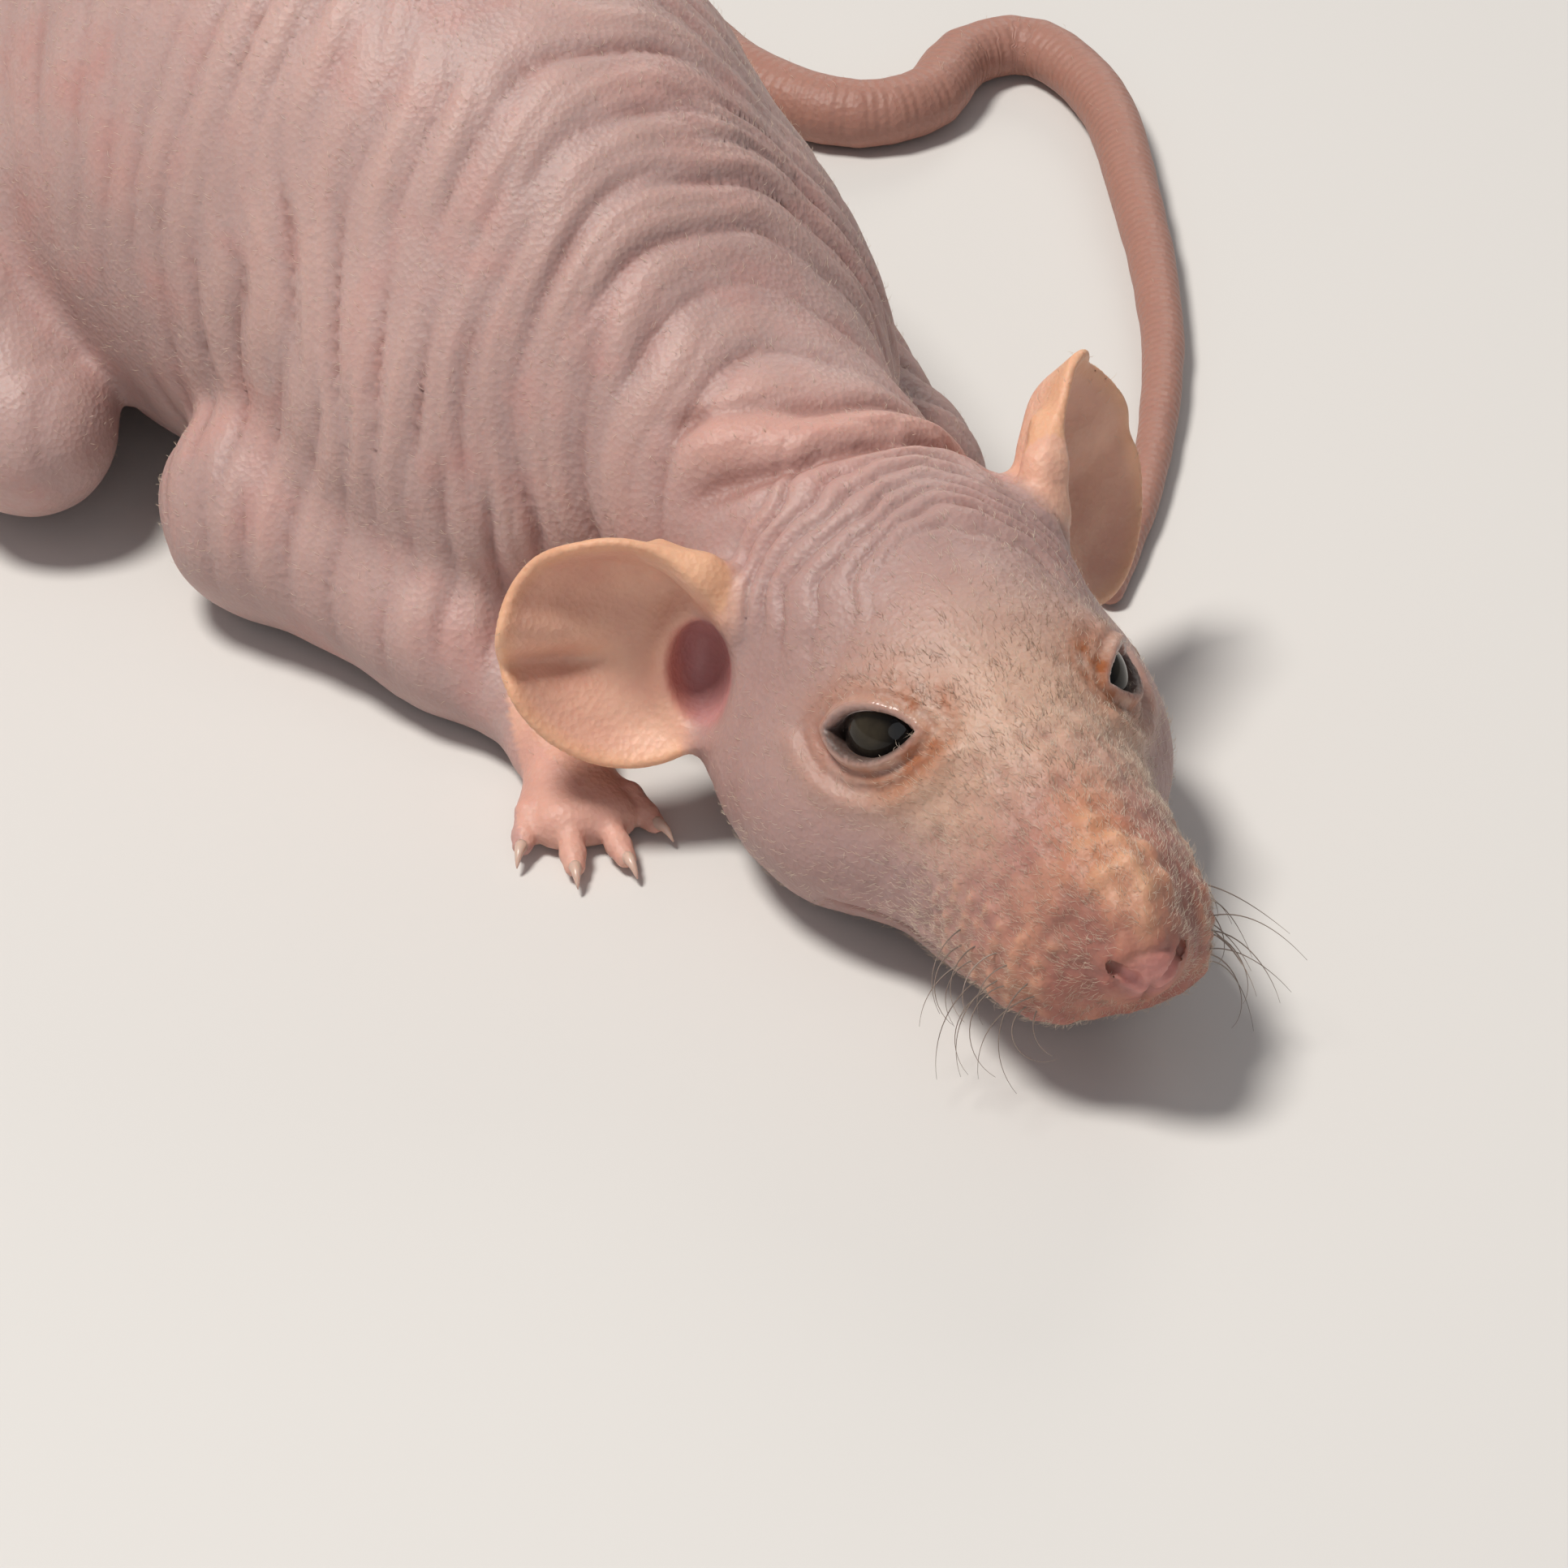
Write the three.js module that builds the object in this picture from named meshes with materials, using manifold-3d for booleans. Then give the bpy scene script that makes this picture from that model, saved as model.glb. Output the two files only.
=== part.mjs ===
// A hairless dumbo rat, life size, crouching with its chin on the floor.
// Millimetres. The rat faces -Y, its left side is +X and up is +Z.
// The origin is on the floor, under the chest.
import * as THREE from "three";
import { mergeVertices } from "three/addons/utils/BufferGeometryUtils.js";
import Module from "manifold-3d";

const wasm = await Module();
wasm.setup();

// Driving dimensions
const HEAD_LENGTH = 50; // nose tip to nape
const TRUNK_LENGTH = 120; // nape to rump, as it crouches
const TAIL_LENGTH = 196;
const TAIL_ROOT_RADIUS = 4.6;
const TAIL_TIP_RADIUS = 1.1;
const EAR_RADIUS = 8.4;
const EAR_THICKNESS = 1.0;
const EAR_CUP = 0.42; // depth of the bowl over its radius
const EYE_RADIUS = 3.6;
const EYE_OPENING = 7.4; // from corner to corner
const HIND_SOLE = 36;
const FORE_SOLE = 15;
const GAP = 0.3; // between neighbouring pieces
const SLIVER = 0.02; // edges and slopes finer than this are smoothed away

// The head's own frame: forward, left, up, from the point midway between the eyes
const h = HEAD_LENGTH / 50;
const HEAD_AT = [0.2, -56.7 * h, 16.4 * h];
const HEAD_YAW = THREE.MathUtils.degToRad(-10); // the head turns to the left
const b = TRUNK_LENGTH / 120;

// Skin folds that run round the neck and shoulders
const FOLD_SPACING = 6.4;
const FOLD_HEIGHT = 0.8;
const FOLDS_FROM = -36 * b;
const FOLDS_TO = 40 * b;
const SWAY = -5 * b; // how far the hips lie to the right of the shoulders

const SIDES = { left: 1, right: -1 };

function material(colour, roughness) {
  return new THREE.MeshStandardMaterial({ color: colour, roughness, metalness: 0 });
}

const skin = material("#c79a90", 0.55);
const earSkin = material("#cf9b7f", 0.5);
const eyeGloss = material("#15110f", 0.08);
const tailSkin = material("#b98276", 0.6);

// Small vector helpers on [x, y, z]
const add = (a, c) => [a[0] + c[0], a[1] + c[1], a[2] + c[2]];
const sub = (a, c) => [a[0] - c[0], a[1] - c[1], a[2] - c[2]];
const mul = (a, s) => [a[0] * s, a[1] * s, a[2] * s];
const dot = (a, c) => a[0] * c[0] + a[1] * c[1] + a[2] * c[2];
const len = (a) => Math.hypot(a[0], a[1], a[2]);
const unit = (a) => mul(a, 1 / len(a));
const cross = (a, c) => [
  a[1] * c[2] - a[2] * c[1],
  a[2] * c[0] - a[0] * c[2],
  a[0] * c[1] - a[1] * c[0],
];
const clamp = (v, low, high) => Math.min(high, Math.max(low, v));
const smooth = (v) => clamp(v, 0, 1) ** 2 * (3 - 2 * clamp(v, 0, 1));
const mix = (a, c, t) => a + (c - a) * t;

const headForward = [Math.sin(HEAD_YAW), -Math.cos(HEAD_YAW), 0];
const headLeft = [Math.cos(HEAD_YAW), Math.sin(HEAD_YAW), 0];
const UP = [0, 0, 1];

// A point of the head's frame in the rat's frame, and back.
function fromHead([f, l, u]) {
  return add(HEAD_AT, add(add(mul(headForward, f), mul(headLeft, l)), [0, 0, u]));
}

function toHead(p) {
  const d = sub(p, HEAD_AT);
  return [dot(d, headForward), dot(d, headLeft), d[2]];
}

// Distance to an ellipsoid, close enough near its surface.
function ellipsoid(p, centre, radii) {
  const d = sub(p, centre);
  const near = Math.hypot(d[0] / radii[0], d[1] / radii[1], d[2] / radii[2]);
  const far = Math.hypot(d[0] / radii[0] ** 2, d[1] / radii[1] ** 2, d[2] / radii[2] ** 2);
  return far < 1e-9 ? -Math.min(...radii) : (near * (near - 1)) / far;
}

// Distance to a rod from a to c whose radius goes from ra to rc.
function rod(p, a, c, ra, rc) {
  const along = sub(c, a);
  const t = clamp(dot(sub(p, a), along) / dot(along, along), 0, 1);
  return len(sub(p, add(a, mul(along, t)))) - mix(ra, rc, t);
}

// The nearer of two distances, with the corner between them filled over a width k.
function blend(a, c, k) {
  const share = clamp(0.5 + (0.5 * (c - a)) / k, 0, 1);
  return mix(c, a, share) - k * share * (1 - share);
}

// Masses of the head, in its own frame: place, radii, and how softly each blends in.
const headMasses = [
  { at: [-11, 0, -1.5], radii: [15, 11.6, 10], soft: 1 },
  { at: [-7.5, 8.2, -8], radii: [13, 7.4, 8], soft: 4, pair: true },
  { at: [6, 4.2, -8.6], radii: [9.5, 4.8, 6], soft: 4, pair: true },
  { at: [-1, 5.4, 0.4], radii: [5.4, 3.2, 3.5], soft: 2.5, pair: true },
  { at: [16, 3.6, -7.3], radii: [7, 4.3, 4.9], soft: 3, pair: true },
  { at: [24.2, 0, -4], radii: [2.9, 3.1, 2.8], soft: 2.5 },
];
const headRods = [
  { from: [0, 0, -2.5], to: [19, 0, -4.6], radii: [9, 5.2], soft: 5 },
  { from: [-4, 0, 2], to: [20.5, 0, -2.6], radii: [4.6, 3.2], soft: 4 },
  { from: [-10, 0, -9.5], to: [14, 0, -11.8], radii: [6.6, 3], soft: 2.5 },
];
const LID = 0.75; // thickness of the lids over the eye

function headField(p) {
  const q = mul(toHead(p), 1 / h);
  let d = ellipsoid(q, headMasses[0].at, headMasses[0].radii);
  for (const m of headMasses.slice(1))
    for (const side of m.pair ? [1, -1] : [1])
      d = blend(d, ellipsoid(q, [m.at[0], m.at[1] * side, m.at[2]], m.radii), m.soft);
  for (const r of headRods) d = blend(d, rod(q, r.from, r.to, ...r.radii), r.soft);
  for (const side of [1, -1]) {
    const lids = len(sub(q, mul(eyeInHead(side), 1 / h))) - (EYE_RADIUS + LID);
    d = blend(d, lids, 1.6);
  }
  return d * h;
}

function eyeInHead(side) {
  return mul([0.7, 6.4 * side, 0.3], h);
}

// Masses of the trunk, in the rat's frame before it sways.
const trunkMasses = [
  { at: [0, -2, 19.5], radii: [18, 24, 20], soft: 1 },
  { at: [0, 24, 23], radii: [26, 38, 25], soft: 9 },
  { at: [0, 54, 23.5], radii: [25, 29, 24.5], soft: 8 },
  { at: [0, 26, 31], radii: [17, 42, 18.5], soft: 8 },
  { at: [12.5, -6, 16], radii: [9.5, 15, 15], soft: 5, pair: true },
];
const neck = { from: [0, -12, 20], to: [2.6, -42, 14.5], radii: [14.2, 10.2], soft: 7 };

// The sway of the trunk at a point's place along it.
const sway = (y) => SWAY * smooth((y / b + 16) / 76);

function trunkField(p) {
  const q = mul([p[0] - sway(p[1]), p[1], p[2]], 1 / b);
  let d = ellipsoid(q, trunkMasses[0].at, trunkMasses[0].radii);
  for (const m of trunkMasses.slice(1))
    for (const side of m.pair ? [1, -1] : [1])
      d = blend(d, ellipsoid(q, [m.at[0] * side, m.at[1], m.at[2]], m.radii), m.soft);
  return blend(d, rod(q, neck.from, neck.to, ...neck.radii), neck.soft) * b;
}

// Head, neck and trunk as one form, flat where it meets the floor.
function bodyField(p) {
  return Math.max(blend(trunkField(p), headField(p), 5), -p[2]);
}

// How far the skin stands out in a fold. The folds cross the back and fade towards the rump and the belly.
function fold(p) {
  const across = Math.abs(p[0]) / 26;
  const along = p[1] + 7 * across ** 2 + 1.2 * Math.sin(p[0] * 0.21 + 1) - 0.25 * (p[2] - 30);
  const wave = 1 - 2 * Math.abs(Math.sin((Math.PI * along) / FOLD_SPACING)) ** 0.8;
  const reach = smooth((along - FOLDS_FROM) / 8) * (1 - smooth((along - FOLDS_TO * 0.4) / (FOLDS_TO * 0.6)));
  return -FOLD_HEIGHT * wave * reach * smooth((p[2] - 4) / 8) * 0.5;
}

// A closed surface through rings of points, with a flat or pointed cap at each end.
function ringSurface(rings, startTip, endTip) {
  const count = rings[0].length;
  const middle = (ring) => mul(ring.reduce((sum, p) => add(sum, p), [0, 0, 0]), 1 / count);
  const points = [...rings.flat(), startTip ?? middle(rings[0]), endTip ?? middle(rings.at(-1))];
  const start = points.length - 2;
  const end = points.length - 1;
  const faces = [];
  rings.forEach((_, i) => {
    for (let j = 0; j < count; j++) {
      const k = (j + 1) % count;
      const a = i * count;
      const c = a + count;
      if (i + 1 < rings.length) faces.push(a + j, a + k, c + k, a + j, c + k, c + j);
      if (i === 0) faces.push(start, k, j);
      if (i + 1 === rings.length) faces.push(end, a + j, a + k);
    }
  });
  const geometry = new THREE.BufferGeometry();
  geometry.setAttribute("position", new THREE.Float32BufferAttribute(points.flat(), 3));
  geometry.setIndex(faces);
  return geometry;
}

// The closed geometry as a manifold-3d solid, turned right side out.
function solid(geometry) {
  const bare = geometry.clone();
  for (const name of Object.keys(bare.attributes)) if (name !== "position") bare.deleteAttribute(name);
  const merged = mergeVertices(bare, 1e-4);
  const vertProperties = new Float32Array(merged.attributes.position.array);
  const triVerts = new Uint32Array(merged.index.array);
  const made = new wasm.Manifold(new wasm.Mesh({ numProp: 3, vertProperties, triVerts }));
  if (made.volume() > 0) return made;
  for (let i = 0; i < triVerts.length; i += 3)
    [triVerts[i + 1], triVerts[i + 2]] = [triVerts[i + 2], triVerts[i + 1]];
  return new wasm.Manifold(new wasm.Mesh({ numProp: 3, vertProperties, triVerts }));
}

// The largest closed surface of a solid.
function largest(made) {
  return made.decompose().reduce((best, s) => (s.volume() > best.volume() ? s : best));
}

function meshOf(name, made, look) {
  const { vertProperties, triVerts, numProp } = largest(largest(made).simplify(SLIVER)).getMesh();
  const geometry = new THREE.BufferGeometry();
  const points = [];
  for (let i = 0; i < vertProperties.length; i += numProp) points.push(...vertProperties.slice(i, i + 3));
  geometry.setAttribute("position", new THREE.Float32BufferAttribute(points, 3));
  geometry.setIndex([...triVerts]);
  geometry.computeVertexNormals();
  const mesh = new THREE.Mesh(geometry, look);
  mesh.name = name;
  return mesh;
}

// The spine, from the nose tip to the rump.
const spine = new THREE.CatmullRomCurve3(
  [
    fromHead([27, 0, -4.6]),
    fromHead([14, 0, -6]),
    fromHead([0, 0, -5.2]),
    fromHead([-9, 0, -4]),
    [2.6, -37, 14.4],
    [1.8, -25, 18],
    [sway(-4), -4, 22.5],
    [sway(24), 24, 25],
    [sway(52), 52, 24],
    [sway(83), 83, 19],
  ].map((p) => new THREE.Vector3(...p)),
  false,
  "centripetal",
);
const SPINE_LENGTH = spine.getLength();

// Centre, tangent, side and up of the section at a distance along the spine.
function section(distance) {
  const t = clamp(distance / SPINE_LENGTH, 0, 1);
  const centre = spine.getPointAt(t).toArray();
  const tangent = spine.getTangentAt(t).toArray();
  const side = unit(cross(UP, tangent));
  return { centre, tangent, side, up: cross(tangent, side) };
}

// How far the surface of a field lies from a centre inside it, along a direction.
function reach(field, centre, direction) {
  const at = (r) => field(add(centre, mul(direction, r)));
  let inside = 0;
  let outside = 1;
  while (at(outside) < 0) {
    inside = outside;
    outside += 1;
  }
  for (let i = 0; i < 14; i++) {
    const half = (inside + outside) / 2;
    if (at(half) < 0) inside = half;
    else outside = half;
  }
  return outside;
}

// Rings of the body's surface round the spine at the given distances along it. A grown one clears every fold.
function spineRings(distances, segments, grow = 0) {
  const grown = (p) => bodyField(p) - grow;
  return distances.map((distance) => {
    const { centre, side, up } = section(distance);
    return Array.from({ length: segments }, (_, j) => {
      const angle = (2 * Math.PI * (j + 0.5)) / segments;
      const direction = add(mul(side, Math.cos(angle)), mul(up, Math.sin(angle)));
      const p = add(centre, mul(direction, reach(grown, centre, direction)));
      const q = add(p, mul(direction, grow > 0 ? FOLD_HEIGHT / 2 : fold(p)));
      return [q[0], q[1], Math.max(q[2], -grow)];
    });
  });
}

// Rings of a tube along a curve, each lying no lower than the floor.
function tube(points, radii, steps, sides, { flatten = 1, floor = 0, from = 0, to = 1 } = {}) {
  const curve = new THREE.CatmullRomCurve3(points.map((p) => new THREE.Vector3(...p)), false, "centripetal");
  const radiusAt = (t) => {
    const place = clamp(t, 0, 1) * (radii.length - 1);
    const i = Math.min(Math.floor(place), radii.length - 2);
    return mix(radii[i], radii[i + 1], place - i);
  };
  return Array.from({ length: steps + 1 }, (_, i) => {
    const t = mix(from, to, i / steps);
    const centre = curve.getPointAt(t).toArray();
    const tangent = curve.getTangentAt(t).toArray();
    const side = unit(cross(UP, tangent));
    const up = cross(tangent, side);
    const r = radiusAt(t);
    return Array.from({ length: sides }, (_, j) => {
      const angle = (2 * Math.PI * (j + 0.5)) / sides;
      const p = add(centre, add(mul(side, r * Math.cos(angle)), mul(up, r * flatten * Math.sin(angle))));
      return [p[0], p[1], Math.max(p[2], floor)];
    });
  });
}

function ball(centre, radii, around = 14, down = 10) {
  const geometry = new THREE.SphereGeometry(1, around, down);
  return solid(geometry.scale(...radii).translate(...centre));
}

const span = (from, to, steps) => Array.from({ length: steps + 1 }, (_, i) => mix(from, to, i / steps));
const NOSE_END = 0.35;
const HEAD_END = HEAD_LENGTH - 2;
const NECK_END = HEAD_END + 13 * b;
const FOLDED_END = NECK_END + 64 * b;
const RUMP_END = SPINE_LENGTH - 0.4;

// Steps that close in on the end of a rounded form.
const closing = (from, to, steps) =>
  Array.from({ length: steps + 1 }, (_, i) => mix(from, to, Math.sin(((i / steps) * Math.PI) / 2)));

const headSteps = [...closing(5, NOSE_END, 5).reverse(), ...span(5, HEAD_END, 28).slice(1)];
const neckSteps = span(HEAD_END + GAP, NECK_END, 7);
const torsoSteps = [
  ...span(NECK_END + GAP, FOLDED_END, 30),
  ...span(FOLDED_END, RUMP_END - 9, 9).slice(1),
  ...closing(RUMP_END - 9, RUMP_END, 4).slice(1),
];
const allSteps = [...headSteps, ...neckSteps, ...torsoSteps];

// The whole body, larger by a gap and by the height of its folds. Ears, limbs and tail are cut back to it.
const bodyAndGap = solid(ringSurface(spineRings(allSteps, 30, GAP)));

// The opening between the lids: two arcs that meet in a corner at each end.
function lidOpening() {
  const shape = new THREE.Shape();
  shape.moveTo(-EYE_OPENING / 2, 0);
  shape.quadraticCurveTo(-EYE_OPENING / 8, EYE_OPENING * 0.5, EYE_OPENING / 2, -0.4);
  shape.quadraticCurveTo(-EYE_OPENING / 6, -EYE_OPENING * 0.42, -EYE_OPENING / 2, 0);
  return new THREE.ExtrudeGeometry(shape, { depth: 8, bevelEnabled: false, curveSegments: 5 });
}

// The eye's own frame: outward, and the way from its rear corner to its front one.
function eyeFrame(side) {
  const outward = unit(sub(fromHead([0.42, 0.8 * side, 0.42]), HEAD_AT));
  const forward = sub(fromHead([1, 0, 0.5]), HEAD_AT);
  const long = unit(sub(forward, mul(outward, dot(forward, outward))));
  return { outward, long, short: mul(cross(outward, long), side) };
}

function eyeSocket(side) {
  const { outward, long, short } = eyeFrame(side);
  const centre = fromHead(eyeInHead(side));
  const turn = new THREE.Matrix4().makeBasis(
    new THREE.Vector3(...long),
    new THREE.Vector3(...short),
    new THREE.Vector3(...outward),
  );
  turn.setPosition(...centre);
  const opening = lidOpening().applyMatrix4(turn);
  return ball(centre, [1, 1, 1].map((v) => v * (EYE_RADIUS * h + GAP))).add(solid(opening));
}

// The line of the mouth, round the muzzle from one corner to the other.
function mouthGroove() {
  const centre = fromHead(mul([13, 0, -9.4], h));
  const points = span(-150, 150, 24).map((degrees) => {
    const a = THREE.MathUtils.degToRad(degrees);
    const drop = 0.9 * Math.abs(degrees / 150) + 0.5;
    const direction = sub(fromHead([Math.cos(a), Math.sin(a), 0]), HEAD_AT);
    const r = reach(headField, sub(centre, [0, 0, drop]), direction);
    return add(sub(centre, [0, 0, drop]), mul(direction, r));
  });
  return solid(ringSurface(tube(points, [0.35, 0.6, 0.45, 0.6, 0.35], 26, 5)));
}

function nostril(side) {
  const route = [[26.8, side, -4.5], [26.3, 1.9 * side, -3.8], [24.4, 3 * side, -3.2]];
  return solid(ringSurface(tube(route.map((p) => fromHead(mul(p, h))), [0.45, 0.75, 0.4], 5, 6)));
}

// The pinna: a bowl whose wall is thickened to both sides, with a crease from the canal to its rim.
function earBowl(side) {
  const { root, outward, across, opening } = earFrame(side);
  const centre = add(root, mul(outward, EAR_RADIUS * 0.92));
  const rings = 7;
  const around = 24;
  const wall = (rho, phi, face) => {
    const x = rho * Math.cos(phi);
    const y = rho * Math.sin(phi);
    const edge = 1 + 0.05 * Math.cos(phi) + 0.03 * Math.sin(2 * phi);
    const crease = 1.5 * Math.exp(-(((y + 0.12) / 0.1) ** 2)) * smooth((x - 0.1) / 0.7);
    const roll = 2.2 * smooth((rho - 0.7) / 0.3) * smooth((y + x * -0.4 - 0.3) / 0.5);
    const depth = EAR_CUP * (rho ** 2 - 1) * EAR_RADIUS - crease + roll;
    const thick = face * EAR_THICKNESS * 0.5 * Math.sqrt(Math.max(0.02, 1 - rho ** 10));
    const flat = add(mul(outward, x * edge * EAR_RADIUS), mul(across, y * edge * EAR_RADIUS));
    return add(centre, add(flat, mul(opening, depth + thick)));
  };
  const ring = (rho, face) => span(0, 2 * Math.PI, around).slice(1).map((phi) => wall(rho, phi, face));
  const rhos = span(0, 1, rings).slice(1);
  const inner = rhos.map((rho) => ring(rho, 1));
  const outer = rhos.map((rho) => ring(rho, -1)).reverse();
  return solid(ringSurface([...inner, ...outer], wall(0, 0, 1), wall(0, 0, -1)));
}

// Where each ear grows from and the way it points, in the head's frame. The right one is held lower.
const EARS = {
  left: { root: [-15, 11.4, -0.2], lean: [-0.68, 0.68, 0.16] },
  right: { root: [-14.6, -11.7, -1.8], lean: [-0.38, -0.92, 0.06] },
};

// The way an ear points out of the head, the way its bowl opens, and the way across it.
function earFrame(side) {
  const dir = (v) => sub(fromHead(v), HEAD_AT);
  const { root, lean } = side > 0 ? EARS.left : EARS.right;
  const outward = unit(dir(lean));
  const faces = dir([0.8, 0.54 * side, 0.3]);
  const opening = unit(sub(faces, mul(outward, dot(faces, outward))));
  const across = mul(cross(opening, outward), side);
  return { root: fromHead(mul(root, h)), outward, opening, across };
}

// An ear: the bowl, the base and back that carry it, the thick fold from its rim to the head, and the canal.
function ear(side) {
  const { root, outward, opening, across } = earFrame(side);
  const turn = new THREE.Matrix4().makeBasis(
    new THREE.Vector3(...outward),
    new THREE.Vector3(...across),
    new THREE.Vector3(...opening),
  );
  turn.setPosition(...root);
  const place = (p) => new THREE.Vector3(...p).applyMatrix4(turn).toArray();
  const lump = (centre, radii, around, down) => {
    const geometry = new THREE.SphereGeometry(1, around, down).scale(...radii).translate(...centre);
    return solid(geometry.applyMatrix4(turn));
  };
  const foldRoute = [[5.6, 7.4, 0.4], [2.6, 6, 1.2], [-0.4, 3.6, 0.9], [-3, 1.4, -0.6]];
  const fold = solid(ringSurface(tube(foldRoute.map(place), [0.7, 1.2, 1.7, 2.4], 5, 8)));
  const base = lump([0.6, -0.8, -2.4], [5, 6.6, 3.6], 16, 12);
  const back = lump([4.6, -0.6, -4.3], [4.2, 3.2, 2], 12, 8);
  const canal = lump([2.8, -1.4, -0.4], [1.6, 2.9, 4], 10, 7);
  return earBowl(side).add(base).add(back).add(fold).subtract(canal).subtract(bodyAndGap);
}

let head = solid(ringSurface(spineRings(headSteps, 36)));
for (const side of Object.values(SIDES)) head = head.subtract(eyeSocket(side)).subtract(nostril(side));
head = head.subtract(mouthGroove());
const nape = solid(ringSurface(spineRings(neckSteps, 30)));
const torso = solid(ringSurface(spineRings(torsoSteps, 30)));

// Everything lower than the floor.
const belowFloor = solid(new THREE.BoxGeometry(600, 600, 60).translate(0, 0, -30));

// A hind leg, a bulge on the flank that reaches forward to the knee and lies on its foot.
function hindLeg(side) {
  const at = (x, y, z) => mul([x * side + SWAY / b, y, z], b);
  const thigh = ball(at(21, 52, 20), mul([11.5, 23, 17.5], b));
  const shankRoute = [at(23, 60, 17), at(27.5, 36, 13), at(27, 22, 9)];
  const shank = solid(ringSurface(tube(shankRoute, [12, 11, 6.5], 6, 12)));
  return thigh.add(shank).subtract(bodyAndGap).subtract(belowFloor).subtract(hindFoot(side, GAP));
}

// A foot flat on the floor, with its toes and claws, from the heel forwards.
function foot({ heel, turn, sole, width, toes, toeLength }, grow = 0) {
  const forward = [Math.sin(turn), -Math.cos(turn), 0];
  const leftward = [Math.cos(turn), Math.sin(turn), 0];
  const at = (f, l, u) => add(heel, add(add(mul(forward, f), mul(leftward, l)), [0, 0, u]));
  const palmEnd = sole - toeLength;
  const limb = (points, radii, steps, sides, flatten = 1) =>
    solid(ringSurface(tube(points, radii.map((r) => r + grow), steps, sides, { flatten, floor: -grow })));
  const palm = [at(-grow, 0, 2.4), at(palmEnd * 0.5, 0, 2.2), at(palmEnd, 0, 1.7), at(palmEnd + 1.5, 0, 1.5)];
  let made = limb(palm, [width * 0.36, width * 0.42, width * 0.52, width * 0.42], 5, 10, 0.6);
  for (let i = 0; i < toes; i++) {
    const s = mix(-1, 1, i / (toes - 1));
    const length = toeLength * (1 - 0.28 * s ** 2);
    const aim = turn + s * 0.42;
    const way = [Math.sin(aim), -Math.cos(aim), 0];
    const root = at(palmEnd - 1 - 2.2 * Math.abs(s), s * width * 0.4, 1.3);
    const go = (d, u) => add(root, add(mul(way, d), [0, 0, u]));
    const knuckles = [go(-0.5, 0), go(length * 0.4, 0.7), go(length * 0.8, 0), go(length, -0.3)];
    const claw = [go(length - 0.6, 0), go(length + 0.9, 0.1), go(length + 2, -0.8)];
    made = made.add(limb(knuckles, [1.15, 1.05, 0.95, 0.7], 3, 6));
    made = made.add(limb(claw, [0.5, 0.42, 0.16], 2, 4));
  }
  return made;
}

function hindFoot(side, grow = 0) {
  const heel = mul([27.5 * side + SWAY / b, 72, 0], b);
  const shape = { heel, turn: 0.1 * side, sole: HIND_SOLE, width: 8, toes: 5, toeLength: 10 };
  return foot(shape, grow).subtract(bodyAndGap);
}

// Where each fore foot's heel stands, and how far it turns out.
const forePaw = {
  left: { heel: [19, -28, 0], turn: 0.12 },
  right: { heel: [-16, -27, 0], turn: -0.3 },
};

function foreFoot(name, grow = 0) {
  const shape = { ...forePaw[name], sole: FORE_SOLE, width: 7, toes: 4, toeLength: 6.5 };
  return foot(shape, grow).subtract(bodyAndGap);
}

// A fore leg: an upper arm back to the elbow, and a forearm forward to the wrist.
function foreLeg(name) {
  const side = SIDES[name];
  const heel = forePaw[name].heel;
  const shoulder = [12 * side, -4, 15];
  const elbow = [21.5 * side, 3, 8.5];
  const upperArm = solid(ringSurface(tube([shoulder, elbow], [6, 7.6], 2, 12)));
  const forearmRoute = [elbow, add(heel, [side, 12, 6]), add(heel, [0, 1, 3.6])];
  const forearm = solid(ringSurface(tube(forearmRoute, [7.4, 5.6, 3.1], 5, 12)));
  const limb = ball(elbow, [8.2, 8.2, 8.2]).add(upperArm).add(forearm);
  return limb.subtract(bodyAndGap).subtract(belowFloor).subtract(foreFoot(name, GAP));
}

// The tail, from inside the rump round the left side, with a loop, to the tip beside the neck.
const TAIL_ROUTE = [
  [-4, 76, 13],
  [0, 88, 7],
  [13, 95, 4],
  [30, 91, 3.7],
  [42, 77, 3.5],
  [46, 60, 3.2],
  [46.5, 46, 3],
  [51, 37.5, 2.8],
  [57, 36.5, 2.7],
  [64, 41, 2.6],
  [69.5, 40, 2.5],
  [70, 31, 2.3],
  [62.5, 14, 2.1],
  [51, -6, 1.8],
  [38.4, -21.5, 1.4],
  [28.6, -31, 1.05],
].map((p) => mul(p, b));
const TAIL_PIECES = 5;

function tailPiece(i) {
  const gap = GAP / TAIL_LENGTH;
  const ends = { from: i / TAIL_PIECES + (i > 0 ? gap : 0), to: (i + 1) / TAIL_PIECES };
  const radii = span(TAIL_ROOT_RADIUS, TAIL_TIP_RADIUS, 8);
  return solid(ringSurface(tube(TAIL_ROUTE, radii, 13, 10, ends))).subtract(bodyAndGap);
}

const rat = new THREE.Group();
rat.add(meshOf("head", head, skin), meshOf("neck", nape, skin), meshOf("torso", torso, skin));
for (const [name, side] of Object.entries(SIDES)) {
  const eyeball = ball(fromHead(eyeInHead(side)), [1, 1, 1].map((v) => v * EYE_RADIUS * h));
  rat.add(meshOf("eye_" + name, eyeball, eyeGloss));
  rat.add(meshOf("ear_" + name, ear(side), earSkin));
  rat.add(meshOf("hind_leg_" + name, hindLeg(side), skin));
  rat.add(meshOf("hind_foot_" + name, hindFoot(side), skin));
  rat.add(meshOf("fore_leg_" + name, foreLeg(name), skin));
  rat.add(meshOf("fore_foot_" + name, foreFoot(name), skin));
}
for (let i = 0; i < TAIL_PIECES; i++) rat.add(meshOf("tail_" + (i + 1), tailPiece(i), tailSkin));

export default rat;
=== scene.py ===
import math

import bpy
import numpy as np
from mathutils import Matrix, Vector


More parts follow.
